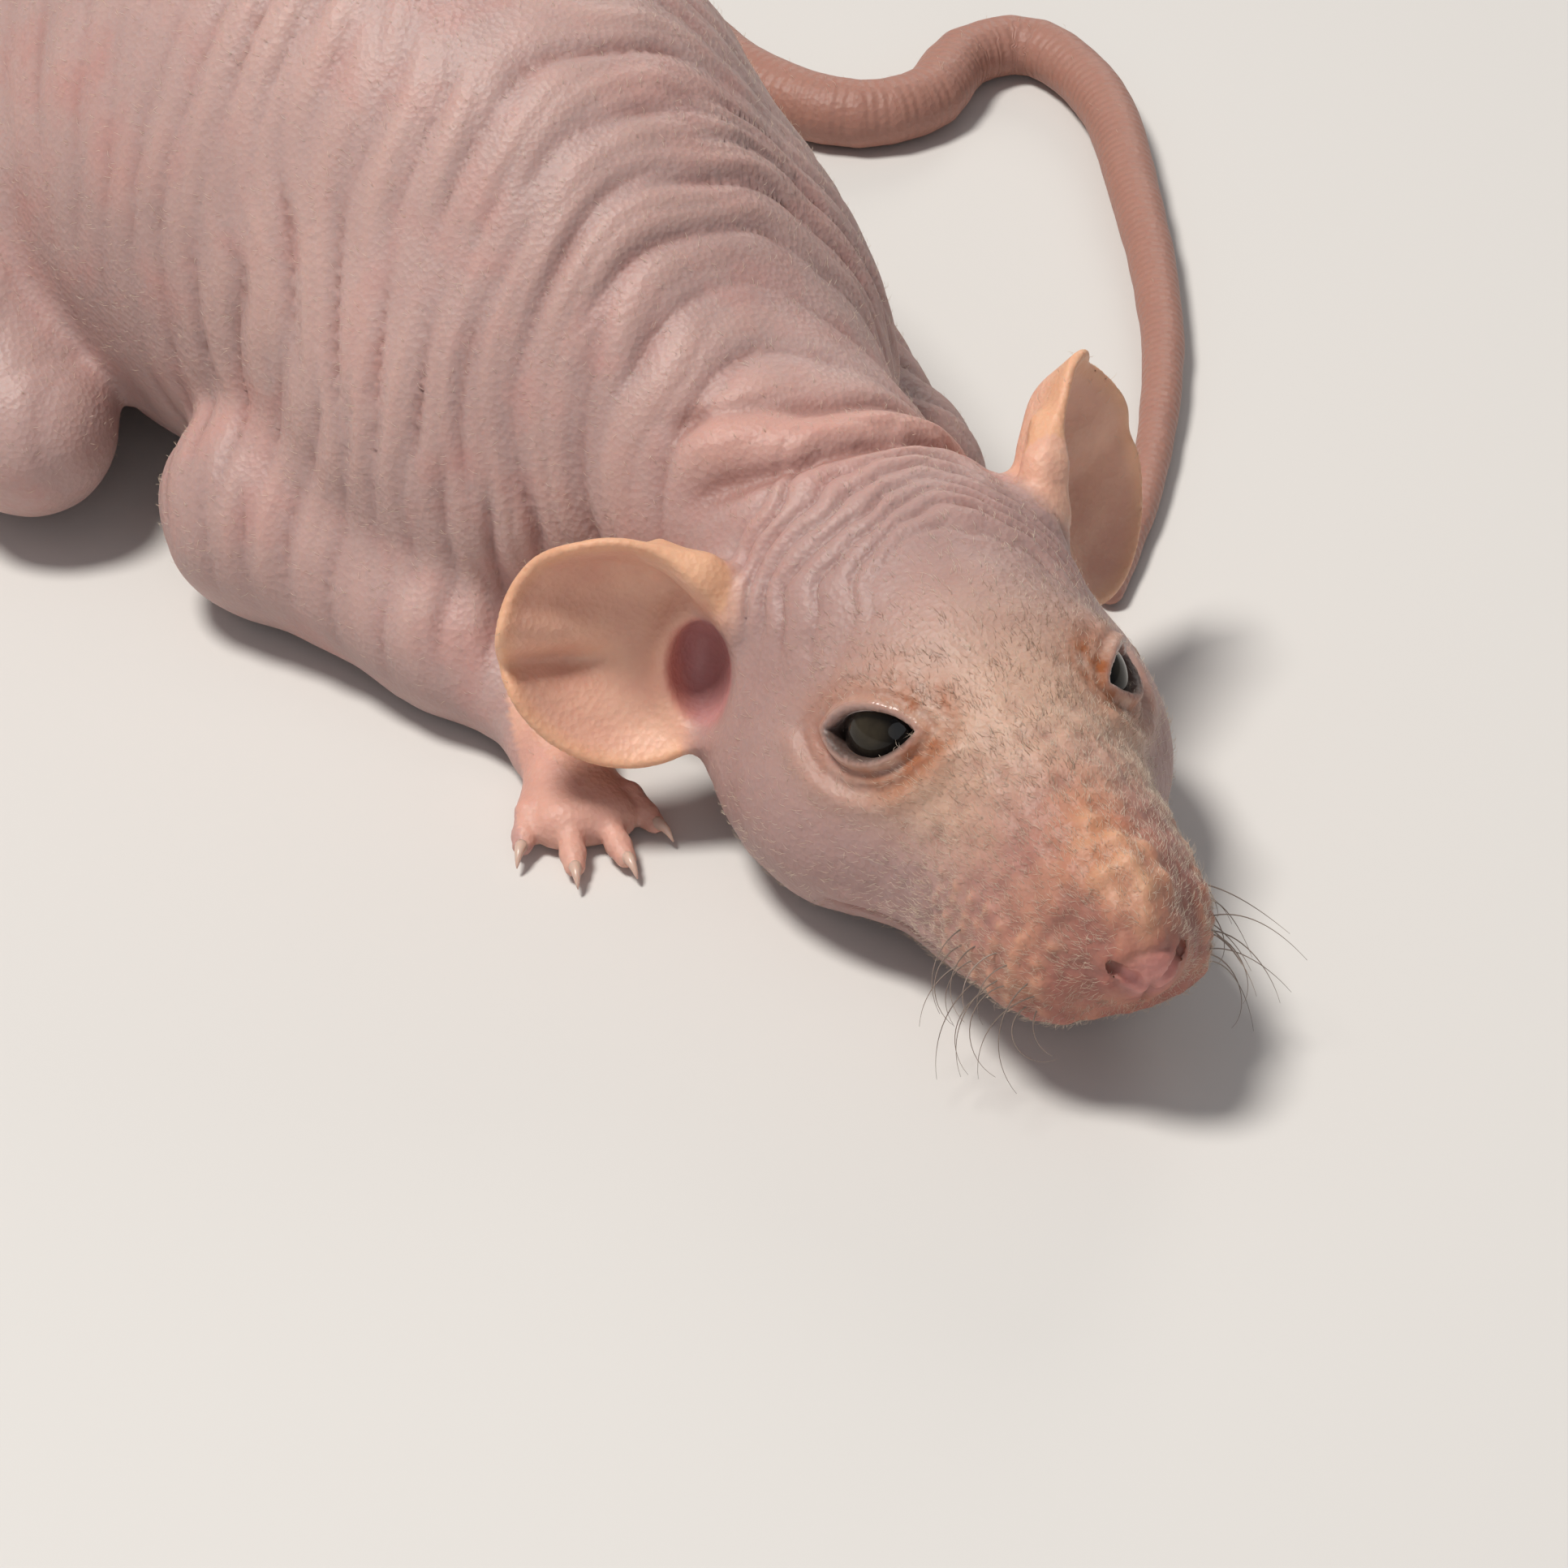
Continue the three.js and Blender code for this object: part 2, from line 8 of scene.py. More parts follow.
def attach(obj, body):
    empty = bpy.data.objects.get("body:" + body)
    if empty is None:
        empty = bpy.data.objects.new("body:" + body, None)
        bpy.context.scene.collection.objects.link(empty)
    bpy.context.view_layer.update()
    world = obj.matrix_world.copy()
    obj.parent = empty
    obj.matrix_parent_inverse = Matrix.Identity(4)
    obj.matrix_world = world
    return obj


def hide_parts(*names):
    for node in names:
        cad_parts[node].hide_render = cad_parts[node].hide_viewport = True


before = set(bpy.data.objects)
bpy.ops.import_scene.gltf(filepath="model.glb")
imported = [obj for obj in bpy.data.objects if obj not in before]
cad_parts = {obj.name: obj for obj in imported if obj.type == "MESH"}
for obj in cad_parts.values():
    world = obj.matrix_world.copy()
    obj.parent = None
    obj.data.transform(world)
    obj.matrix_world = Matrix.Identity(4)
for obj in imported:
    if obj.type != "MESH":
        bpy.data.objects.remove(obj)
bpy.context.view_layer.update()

MM = 0.001
PHOTO = 1932

# Driving dimensions, as in the solids
HEAD_AT = np.array([0.2, -56.7, 16.4])
HEAD_YAW = math.radians(-10)
SWAY = -5.0
EYE_RADIUS = 3.6
EYE_OPENING = 7.4
LID = 0.75
EAR_RADIUS = 8.4
EAR_MIDDLE = 0.92
EAR_THICKNESS = 1.0
EAR_CUP = 0.42
TAIL_ROOT_RADIUS = 4.6
TAIL_TIP_RADIUS = 1.1
HIND_SOLE = 36.0
FORE_SOLE = 15.0

# The eye's opening: its tilt and shift, and how far each lid's edge stands from the line between the corners
LID_TILT = 0.22
LID_DROP = 0.05
UPPER_LID = 1.45
LOWER_LID = 1.85

# The mouth and nose, in the head's frame
MOUTH_HEIGHT = -10.3
NOSE_AT = (26.4, 0, -4.4)

# The folds of the neck and trunk and of the crown: from one to the next, and how tall
FOLD_SPACING = 4.6
CROSSED_SPACING = 3.7
FOLD_HEIGHT = 0.5
CROWN_SPACING = 1.8
CROWN_HEIGHT = 0.34

# The skin's mesh: its bounds before it is drawn together, its step, and how much finer it is round the head
MESH_LOW = np.array([-58.0, -114.0, -24.0])
MESH_HIGH = np.array([96.0, 112.0, 70.0])
STEP = 0.42
FINE = 0.58
FINE_FROM = 30.0
FINE_TO = 95.0
LEVELS = 4
TAIL_RING = 0.9

FORWARD = np.array([math.sin(HEAD_YAW), -math.cos(HEAD_YAW), 0.0])
LEFT = np.array([math.cos(HEAD_YAW), math.sin(HEAD_YAW), 0.0])
UP = np.array([0.0, 0.0, 1.0])
HEAD_TURN = np.stack([FORWARD, LEFT, UP])
SIDES = {"left": 1, "right": -1}


def from_head(q):
    """Points of the head's frame (forward, left, up) in the rat's frame."""
    return HEAD_AT + np.asarray(q, float) @ HEAD_TURN


def to_head(p):
    return (p - HEAD_AT) @ HEAD_TURN.T


def head_way(v):
    return np.asarray(v, float) @ HEAD_TURN


def unit(v):
    v = np.asarray(v, float)
    return v / np.linalg.norm(v)


def length(v):
    return np.sqrt(np.einsum("ij,ij->i", v, v))


def ease(v):
    t = np.clip(v, 0.0, 1.0)
    return t * t * (3 - 2 * t)


def mix(a, b, t):
    return a + (b - a) * t


def bell(v, middle, width):
    """1 at the middle, falling away smoothly on both sides."""
    return np.exp(-(((v - middle) / width) ** 2))


# Distances to simple forms, and ways to join and cut them softly
def ellipsoid(p, centre, radii):
    d = p - np.asarray(centre, float)
    radii = np.asarray(radii, float)
    near = length(d / radii)
    far = length(d / radii**2)
    return near * (near - 1) / np.maximum(far, 1e-6)


def rod(p, a, b, ra, rb):
    a = np.asarray(a, float)
    along = np.asarray(b, float) - a
    t = np.clip((p - a) @ along / (along @ along), 0, 1)
    return length(p - a - t[:, None] * along) - mix(ra, rb, t)


def join(a, b, k):
    share = np.clip(0.5 + 0.5 * (b - a) / k, 0, 1)
    return mix(b, a, share) - k * share * (1 - share)


def cut(a, b, k):
    """What is left of a after b is taken away."""
    return -join(-a, b, k)


def near_only(p, low, high, margin, field, far=50.0):
    """The field at points near a box, and a far distance elsewhere."""
    low = np.asarray(low, float) - margin
    high = np.asarray(high, float) + margin
    inside = np.all((p > low) & (p < high), axis=1)
    d = np.full(len(p), far)
    if inside.any():
        d[inside] = field(p[inside])
    return d


# Masses of the head, in its own frame: place, radii, softness, and whether there is one on each side
HEAD_MASSES = [
    ((-11, 0, -1.5), (15, 11.6, 10), 1, False),
    ((-7.5, 8.2, -8), (13, 7.4, 8), 4, True),
    ((6, 4.2, -8.6), (9.5, 4.8, 6), 4, True),
    ((-1, 5.4, 0.4), (5.4, 3.2, 3.5), 2.5, True),
    ((16, 3.6, -7.3), (7, 4.3, 4.9), 3, True),
    ((24.2, 0, -4), (2.9, 3.1, 2.8), 2.5, False),
]
HEAD_RODS = [
    ((0, 0, -2.5), (19, 0, -4.6), (9, 5.2), 5),
    ((-4, 0, 2), (20.5, 0, -2.6), (4.6, 3.2), 4),
    ((-10, 0, -9.5), (14, 0, -11.8), (6.6, 3), 2.5),
]
TRUNK_MASSES = [
    ((0, -2, 19.5), (18, 24, 20), 1, False),
    ((0, 24, 23), (26, 38, 25), 9, False),
    ((0, 54, 23.5), (25, 29, 24.5), 8, False),
    ((0, 26, 31), (17, 42, 18.5), 8, False),
    ((12.5, -6, 16), (9.5, 15, 15), 5, True),
]
NECK = ((0, -12, 20), (2.6, -42, 14.5), (14.2, 10.2), 7)


def eye_centre(side):
    return np.array([0.7, 6.4 * side, 0.3])


def masses(q, table):
    d = None
    for (x, y, z), radii, soft, pair in table:
        for side in (1, -1) if pair else (1,):
            at = (x, y * side, z) if table is HEAD_MASSES else (x * side, y, z)
            one = ellipsoid(q, at, radii)
            d = one if d is None else join(d, one, soft)
    return d


def eye_frame(side):
    """The eye's way out, from its rear corner to its front one, and down across it, in the head's frame."""
    outward = unit([0.42, 0.8 * side, 0.42])
    forward = np.array([1, 0, 0.5])
    long = unit(forward - outward * (forward @ outward))
    return outward, long, np.cross(outward, long) * side


def lid_radius(rise):
    """The radius of the arc that a lid's edge makes, from how far it stands out from the corners."""
    half = EYE_OPENING / 2
    return (half**2 + rise**2) / (2 * rise)


def almond(q, side):
    """Distance to the outline of the eye's opening, seen along its way out, and how far out a point is."""
    outward, long, short = eye_frame(side)
    d = q - eye_centre(side)
    a, b, c = d @ long, d @ short, d @ outward
    half = EYE_OPENING / 2
    b = b + LID_TILT * a / half - LID_DROP
    bounds = []
    for rise, way in ((LOWER_LID, 1), (UPPER_LID, -1)):
        radius = lid_radius(rise)
        bounds.append(np.hypot(a, b - way * (rise - radius)) - radius)
    return np.maximum(*bounds), c


def head_field(p):
    q = to_head(p)
    d = masses(q, HEAD_MASSES)
    for a, b, radii, soft in HEAD_RODS:
        d = join(d, rod(q, a, b, *radii), soft)
    for side in (1, -1):
        d = join(d, length(q - eye_centre(side)) - (EYE_RADIUS + LID), 1.6)
    return d


def sway(y):
    return SWAY * ease((y + 16) / 76)


def trunk_field(p):
    q = p - np.stack([sway(p[:, 1]), np.zeros(len(p)), np.zeros(len(p))], 1)
    d = masses(q, TRUNK_MASSES)
    a, b, radii, soft = NECK
    return join(d, rod(q, a, b, *radii), soft)


# The ears: where each grows from and the way it points, in the head's frame
EARS = {
    1: ((-15, 11.4, -0.2), (-0.68, 0.68, 0.16)),
    -1: ((-14.6, -11.7, -1.8), (-0.38, -0.92, 0.06)),
}
EAR_FOLD = [(5.6, 7.4, 0.4), (2.6, 6, 1.2), (-0.4, 3.6, 0.9), (-3, 1.4, -0.6)]


def ear_frame(side):
    """Root, way out of the head, way across and way the bowl opens, in the rat's frame."""
    root, lean = EARS[side]
    outward = unit(head_way(lean))
    faces = head_way([0.8, 0.54 * side, 0.3])
    opening = unit(faces - outward * (faces @ outward))
    across = np.cross(opening, outward) * side
    return from_head(root), np.stack([outward, across, opening])


def to_ear(p, side):
    root, turn = ear_frame(side)
    return (p - root) @ turn.T


def ear_plane(q):
    """Places of the ear's frame as seen along its opening, in ear radii from the middle of the bowl."""
    return q[:, 0] / EAR_RADIUS - EAR_MIDDLE, q[:, 1] / EAR_RADIUS


def bowl_height(x, y, side):
    """How far forward the bowl's sheet lies at a place in ear radii, and how near the place is to its rim."""
    phi = np.arctan2(y, x)
    edge = 1 + 0.05 * np.cos(phi) + 0.03 * np.sin(2 * phi)
    if side > 0:
        edge = edge + 0.13 * bell(phi, 1.25, 0.3)
    x, y = x / edge, y / edge
    rho = np.hypot(x, y)
    crease = 1.2 * bell(y, -0.18, 0.14) - 0.8 * bell(y, 0.12, 0.2)
    crease *= (0.3 if side > 0 else 1.0) * ease((x + 0.1) / 0.8)
    roll = 2.2 * ease((rho - 0.7) / 0.3) * ease((y - 0.4 * x - 0.3) / 0.5)
    ribs = 0.22 * np.sin(9 * y + 2 * x) * ease((0.9 - rho) / 0.5)
    return EAR_CUP * (rho**2 - 1) * EAR_RADIUS - crease + roll + ribs, rho


def ear_field(p, side):
    q = to_ear(p, side)
    x, y = ear_plane(q)
    height, rho = bowl_height(x, y, side)
    step = 0.02
    rise = [bowl_height(x + dx, y + dy, side)[0] - height for dx, dy in ((step, 0), (0, step))]
    steep = np.hypot(*rise) / step
    thick = EAR_THICKNESS * (mix(1.3, 0.72, ease(rho)) + 0.25 * bell(rho, 0.97, 0.05))
    sheet = np.abs(q[:, 2] - height) / np.sqrt(1 + (steep / EAR_RADIUS) ** 2) - thick / 2
    lean = 2 * EAR_CUP * rho
    bowl = cut(sheet, (1 - rho) * EAR_RADIUS - (q[:, 2] - height) * lean / (1 + lean**2), 0.5)
    d = join(bowl, ellipsoid(q, (4.6, -0.6, -4.3), (4.2, 3.2, 2)), 1.5)
    d = join(d, ellipsoid(q, (0.6, -0.8, -2.4), (5, 6.6, 3.6)), 1.6)
    return join(d, chain(q, EAR_FOLD, [0.7, 1.2, 1.7, 2.4], 1.2), 1.6)


def canal_field(p, side):
    return ellipsoid(to_ear(p, side), (2.6, -1.4, -0.2), (2.1, 3.5, 4.4))


# The limbs: rods from joint to joint
def chain(p, points, radii, soft=1.0):
    d = None
    for (a, b), (ra, rb) in zip(zip(points, points[1:]), zip(radii, radii[1:])):
        one = rod(p, a, b, ra, rb)
        d = one if d is None else join(d, one, soft)
    return d


def foot_plan(heel, turn, sole, width, toes, toe_length):
    """The palm and each toe of a foot, and the claws, as chains of points and radii."""
    heel = np.asarray(heel, float)
    forward = np.array([math.sin(turn), -math.cos(turn), 0])
    leftward = np.array([math.cos(turn), math.sin(turn), 0])

    def at(f, l, u):
        return heel + forward * f + leftward * l + UP * u

    end = sole - toe_length
    fan = width * 0.26
    palms = [
        ([at(0.5, 0, 2.4), at(end * 0.5, s * fan * 0.6, 1.9), at(end, s * fan, 1.6)], [2.4, 2.0, 1.9])
        for s in (-1, 0, 1)
    ]
    toe_chains = []
    claws = []
    for i in range(toes):
        s = mix(-1, 1, i / (toes - 1))
        long = toe_length * (1 - 0.28 * s**2)
        aim = turn + s * 0.42
        way = np.array([math.sin(aim), -math.cos(aim), 0])
        root = at(end - 1 - 2.2 * abs(s), s * width * 0.4, 1.3)
        points = [root - way * 0.5, root + way * long * 0.4 + UP * 0.7, root + way * long * 0.8]
        points.append(root + way * long - UP * 0.25)
        toe_chains.append((points, [1.2, 0.95, 0.9, 0.75]))
        claws.append((root + way * (long + 0.2), way))
    return palms, toe_chains, claws


FEET = {
    "hind_left": ((27.5 + SWAY, 72, 0), 0.1, HIND_SOLE, 8, 5, 10),
    "hind_right": ((-27.5 + SWAY, 72, 0), -0.1, HIND_SOLE, 8, 5, 10),
    "fore_left": ((19, -28, 0), 0.12, FORE_SOLE, 7, 4, 6.5),
    "fore_right": ((-16, -27, 0), -0.3, FORE_SOLE, 7, 4, 6.5),
}


def foot_field(p, plan):
    palms, toes, _ = plan
    d = None
    for points, radii in palms:
        one = chain(p, points, radii, 0.8)
        d = one if d is None else join(d, one, 1.5)
    for points, radii in toes:
        d = join(d, chain(p, points, radii, 0.3), 0.45)
    return d


def near_foot(p, name):
    """Distance to one foot, worked out only round it."""
    heel = np.array(FEET[name][0], float)
    return near_only(p, heel - (14, 42, 2), heel + (14, 8, 10), 0, lambda q: foot_field(q, PLANS[name]))


def leg_field(p, name):
    end, side_name = name.split("_")
    side = SIDES[side_name]
    if end == "hind":
        at = lambda x, y, z: (x * side + SWAY, y, z)
        d = ellipsoid(p, at(21, 52, 20), (11.5, 23, 17.5))
        shank = chain(p, [at(23, 60, 17), at(27.5, 36, 13), at(27, 22, 9)], [12, 11, 6.5], 3)
        d = join(d, shank, 5)
        return join(d, rod(p, at(28, 62, 9), at(27.6, 72, 3.4), 6, 3), 4)
    heel = np.array(FEET[name][0], float)
    elbow = (21.5 * side, 3, 8.5)
    forearm = chain(p, [elbow, heel + (side, 12, 6), heel + (0, 1, 3.4)], [7.8, 5.6, 2.9], 3)
    return join(rod(p, (12 * side, -4, 15), elbow, 6, 7.6), forearm, 3)


# The tail: a smooth curve through its route, lying on the floor
TAIL_ROUTE = [
    (-4, 76, 13), (0, 88, 7), (13, 95, 4), (30, 91, 3.7), (42, 77, 3.5), (46, 60, 3.2), (46.5, 46, 3),
    (51, 37.5, 2.8), (57, 36.5, 2.7), (64, 41, 2.6), (69.5, 40, 2.5), (70, 31, 2.3), (62.5, 14, 2.1),
    (51, -6, 1.8), (38.4, -21.5, 1.4), (28.6, -31, 1.05),
]


def smooth_route(points, count):
    """Points evenly spaced along a centripetal curve through the given ones."""
    points = np.asarray(points, float)
    ends = [2 * points[0] - points[1], 2 * points[-1] - points[-2]]
    p = np.vstack([ends[0], points, ends[1]])
    knots = np.concatenate([[0], np.cumsum(np.sqrt(np.linalg.norm(np.diff(p, axis=0), axis=1)))])
    out = []
    for i in range(1, len(p) - 2):
        t = np.linspace(knots[i], knots[i + 1], 40, endpoint=i == len(p) - 3)[:, None]
        t0, t1, t2, t3 = knots[i - 1 : i + 3]
        a1 = (t1 - t) / (t1 - t0) * p[i - 1] + (t - t0) / (t1 - t0) * p[i]
        a2 = (t2 - t) / (t2 - t1) * p[i] + (t - t1) / (t2 - t1) * p[i + 1]
        a3 = (t3 - t) / (t3 - t2) * p[i + 1] + (t - t2) / (t3 - t2) * p[i + 2]
        b1 = (t2 - t) / (t2 - t0) * a1 + (t - t0) / (t2 - t0) * a2
        b2 = (t3 - t) / (t3 - t1) * a2 + (t - t1) / (t3 - t1) * a3
        out.append((t2 - t) / (t2 - t1) * b1 + (t - t1) / (t2 - t1) * b2)
    fine = np.vstack(out)
    run = np.concatenate([[0], np.cumsum(np.linalg.norm(np.diff(fine, axis=0), axis=1))])
    even = np.linspace(0, run[-1], count)
    return np.stack([np.interp(even, run, fine[:, i]) for i in range(3)], 1), run[-1]


TAIL_POINTS, TAIL_LENGTH = smooth_route(TAIL_ROUTE, 90)
TAIL_RADII = np.linspace(TAIL_ROOT_RADIUS, TAIL_TIP_RADIUS, len(TAIL_POINTS))


def tail_field(p):
    d = np.full(len(p), 50.0)
    for a, b, ra, rb in zip(TAIL_POINTS, TAIL_POINTS[1:], TAIL_RADII, TAIL_RADII[1:]):
        near = np.all(np.abs(p - (a + b) / 2) < 12, axis=1)
        if near.any():
            d[near] = np.minimum(d[near], rod(p[near], a, b, ra, rb))
    return d


PLANS = {name: foot_plan(*shape) for name, shape in FEET.items()}
HEAD_REACH = 34
HEAD_LOW = HEAD_AT - HEAD_REACH
HEAD_HIGH = HEAD_AT + HEAD_REACH
TAIL_LOW = TAIL_POINTS.min(0)
TAIL_HIGH = TAIL_POINTS.max(0)


def body_field(p):
    """Distance to the whole skin, without its folds."""
    d = trunk_field(p)
    d = join(d, near_only(p, HEAD_LOW, HEAD_HIGH, 2, head_field), 5)
    for name, (heel, *_) in FEET.items():
        heel = np.array(heel, float)
        reach = 60 if name.startswith("hind") else 40
        leg = near_only(p, heel - reach, heel + reach, 0, lambda q: leg_field(q, name))
        d = join(d, join(leg, near_foot(p, name), 2.2), 3.0 if name.startswith("hind") else 2.5)
    d = join(d, near_only(p, TAIL_LOW, TAIL_HIGH, 12, tail_field), 2.5)
    for side in (1, -1):
        at = ear_frame(side)[0]
        near = (at - 26, at + 26, 0)
        d = join(d, near_only(p, *near, lambda q: ear_field(q, side)), 1.8)
        d = cut(d, near_only(p, *near, lambda q: canal_field(q, side)), 1.6)
        near = (from_head(eye_centre(side)) - 9, from_head(eye_centre(side)) + 9, 0)
        d = cut(d, near_only(p, *near, lambda q: eye_hole(q, side)), 0.45)
        d = cut(d, near_only(p, HEAD_LOW, HEAD_HIGH, 0, lambda q: nostril_field(q, side)), 0.35)
    return cut(d, p[:, 2], 1.2)


def eye_hole(p, side):
    outline, out = almond(to_head(p), side)
    return np.maximum(outline, 1.0 - out)


def nostril_field(p, side):
    q = to_head(p)
    points = [(27.3, 0.7 * side, -4.9), (26.9, 1.4 * side, -4.2), (26.1, 2.4 * side, -3.4)]
    return chain(q, points, [0.28, 0.5, 0.3], 0.3)


def spread(q):
    """Grid points to places, with the grid drawn together round the head."""
    d = q - HEAD_AT
    r = length(d)
    return HEAD_AT + d * mix(FINE, 1.0, ease((r - FINE_FROM) / (FINE_TO - FINE_FROM)))[:, None]


def in_pieces(field, p, size=400000):
    return np.concatenate([field(p[i : i + size]) for i in range(0, len(p), size)])


CORNERS = np.array([(i, j, k) for i in (0, 1) for j in (0, 1) for k in (0, 1)])


def surface(field, low, high):
    """Points and four-sided faces of the field's zero surface, found by halving the cells near it."""
    size = STEP * 2**LEVELS
    counts = np.ceil((high - low) / size).astype(int)
    cells = np.stack(np.meshgrid(*[np.arange(n) for n in counts], indexing="ij"), -1).reshape(-1, 3)
    for level in range(LEVELS, -1, -1):
        size = STEP * 2**level
        d = in_pieces(field, spread(low + (cells + 0.5) * size))
        cells = cells[np.abs(d) < size * 1.6 + 0.2]
        if level:
            cells = (cells[:, None, :] * 2 + CORNERS).reshape(-1, 3)
    span = cells.max(0) + 3

    def key(c):
        return (c[..., 0] * span[1] + c[..., 1]) * span[2] + c[..., 2]

    corner_keys = key(cells[:, None, :] + CORNERS)
    keys, where = np.unique(corner_keys, return_inverse=True)
    where = where.reshape(corner_keys.shape)
    grid = np.stack([keys // (span[1] * span[2]), keys // span[2] % span[1], keys % span[2]], 1)
    values = in_pieces(field, spread(low + grid * STEP))
    inside = (values < 0)[where]
    active = inside.any(1) & ~inside.all(1)
    cells, where = cells[active], where[active]
    order = np.argsort(key(cells))
    cells, where = cells[order], where[order]
    cell_keys = key(cells)
    total = np.zeros((len(cells), 3))
    count = np.zeros(len(cells))
    for a in range(8):
        for axis in range(3):
            b = a | (4 >> axis)
            if b == a:
                continue
            va, vb = values[where[:, a]], values[where[:, b]]
            crossed = (va < 0) != (vb < 0)
            t = np.where(crossed, va / np.where(crossed, va - vb, 1), 0)
            point = CORNERS[a] + t[:, None] * (CORNERS[b] - CORNERS[a])
            total += np.where(crossed[:, None], point, 0)
            count += crossed
    points = spread(low + (cells + total / count[:, None]) * STEP)
    faces = []
    for axis in range(3):
        u, v = (axis + 1) % 3, (axis + 2) % 3
        va, vb = values[where[:, 0]], values[where[:, 4 >> axis]]
        own = np.nonzero((va < 0) != (vb < 0))[0]
        around = []
        for du, dv in ((0, 0), (1, 0), (1, 1), (0, 1)):
            neighbour = cells[own].copy()
            neighbour[:, u] -= du
            neighbour[:, v] -= dv
            around.append(np.searchsorted(cell_keys, key(neighbour)))
        quad = np.stack(around, 1)
        flip = va[own] > 0
        quad[flip] = quad[flip][:, ::-1]
        faces.append(quad)
    return points, np.vstack(faces)


def slope(field, p, step=0.04):
    """The field and its slope at each point."""
    d = in_pieces(field, p)
    way = [in_pieces(field, p + np.eye(3)[i] * step) - d for i in range(3)]
    return d, np.stack(way, 1) / step


def settle(field, p, rounds=2):
    """Points moved on to the zero surface, and the normals there."""
    for _ in range(rounds):
        d, g = slope(field, p)
        size = np.maximum((g**2).sum(1), 0.25)
        p = p - np.clip(d / size, -0.4, 0.4)[:, None] * g
    g = slope(field, p)[1]
    return p, g / np.maximum(length(g), 1e-6)[:, None]


def wander(p, size, seed):
    """Values that wander gently over a given size, the same on each run."""
    rng = np.random.default_rng(seed)
    total = np.zeros(len(p))
    for _ in range(5):
        way = rng.normal(size=3)
        way *= 2 * math.pi / size / np.linalg.norm(way) * rng.uniform(0.7, 1.4)
        total += np.sin(p @ way + rng.uniform(0, 2 * math.pi))
    return total / 3.2


def wave(x):
    """A row of round crests with narrow valleys between them, from -1 to 1."""
    return 2 * np.abs(np.sin(math.pi * x)) ** 0.7 - 1


def body_folds(p):
    """How far the skin of the neck and trunk stands out in its folds."""
    across = np.abs(p[:, 0] - sway(p[:, 1])) / 26
    along = p[:, 1] + 7 * across**2 - 0.25 * (p[:, 2] - 30) + 2 * wander(p, 34, 3) + 0.5 * wander(p, 13, 43)
    reach = ease((along + 44) / 10) * (1 - ease((along - 2) / 46))
    strength = reach * ease((p[:, 2] - 3) / 9) * (0.6 + 0.4 * wander(p, 18, 5))
    crossed = wave((along + 0.22 * p[:, 2]) / CROSSED_SPACING)
    coarse = mix(wave(along / FOLD_SPACING), crossed, ease(0.5 + 0.8 * wander(p, 26, 9))) * FOLD_HEIGHT
    fine = wave(along / 1.9 + 0.5 * wander(p, 12, 7)) * 0.13
    return (coarse + fine) * strength


def brow_folds(q):
    """Wrinkles that arch over the crown behind the brow, in the head's frame."""
    radius = np.hypot(q[:, 0] - 1, 1.05 * q[:, 1]) + 1.1 * wander(q, 11, 11) + 0.35 * wander(q, 4, 13)
    where = ease((radius - 7.5) / 3) * ease((24 - radius) / 5)
    where = where * ease((q[:, 2] - 0.5) / 3) * ease((-2 - q[:, 0]) / 4)
    return wave(radius / CROWN_SPACING) * CROWN_HEIGHT * where * (0.75 + 0.35 * wander(q, 8, 15))


def nape_crease(q):
    """The deep crease behind the crown, from ear to ear, and the ridge behind it."""
    along = q[:, 0] + 18.3 + 0.028 * (q[:, 1] + 1) ** 2 + 0.5 * wander(q, 9, 17)
    where = ease((12.5 - np.abs(q[:, 1] + 1)) / 4) * ease((q[:, 2] + 2) / 5)
    deep = -0.75 * bell(along, 0, 0.75) + 0.55 * bell(along, -2.2, 1.2)
    return (deep - 0.4 * bell(along, -4.4, 0.7)) * where


def lid_folds(q, side):
    """The rims of the lids, the creases round them and the fold under them."""
    outline, out = almond(q, side)
    short = eye_frame(side)[2]
    below = ease(((q - eye_centre(side)) @ short) / 1.5)
    front = ease((out - 1.2) / 1.5)
    rim = 0.2 * bell(outline, 0.35, 0.3)
    creases = -0.34 * bell(outline, 1.15, 0.28) * mix(0.45, 1, below)
    creases -= 0.2 * bell(outline, 2.2, 0.4) * mix(0.5, 1, below)
    pouch = 0.45 * bell(outline, 3.2, 0.9) * below
    return (rim + creases + pouch) * front


def muzzle_folds(q):
    """The mouth line and its lips, the cleft, the edge of the nose pad and the hollows beside it."""
    high = q[:, 2] - MOUTH_HEIGHT + 0.10 * np.maximum(14 - q[:, 0], 0)
    groove = -0.65 * bell(high, 0, 0.42) + 0.3 * bell(high, 1.1, 0.8)
    lips = groove * ease((q[:, 0] - 1) / 3)
    cleft = -0.6 * bell(q[:, 1], 0, 0.3) * ease((q[:, 0] - 24) / 2) * ease((-4.6 - q[:, 2]) / 1.5)
    pad = length((q - (26.2, 0, -4.2)) / (1, 1.05, 0.8))
    edge = -0.22 * bell(pad, 2.3, 0.3) * (q[:, 0] > 24)
    dents = [bell(length(q - (23.8, 4.2 * side, -2)), 0, 2.7) for side in (1, -1)]
    return lips + cleft * (high > 0) + edge - 0.55 * (dents[0] + dents[1])


# The larger warts on the end of the muzzle: how far ahead and to the left in the head's frame, and how tall
WARTS = [
    (20.3, 0.4, 0.6), (22.4, 0.2, 0.8), (24.1, 0.7, 0.7), (22.6, -1.6, 0.5), (25.6, 0, 0.4),
    (18.2, -0.6, 0.4), (21.2, 2, 0.45), (24.3, -1.4, 0.45), (19.9, -1.7, 0.35), (23.3, 2.3, 0.4),
]


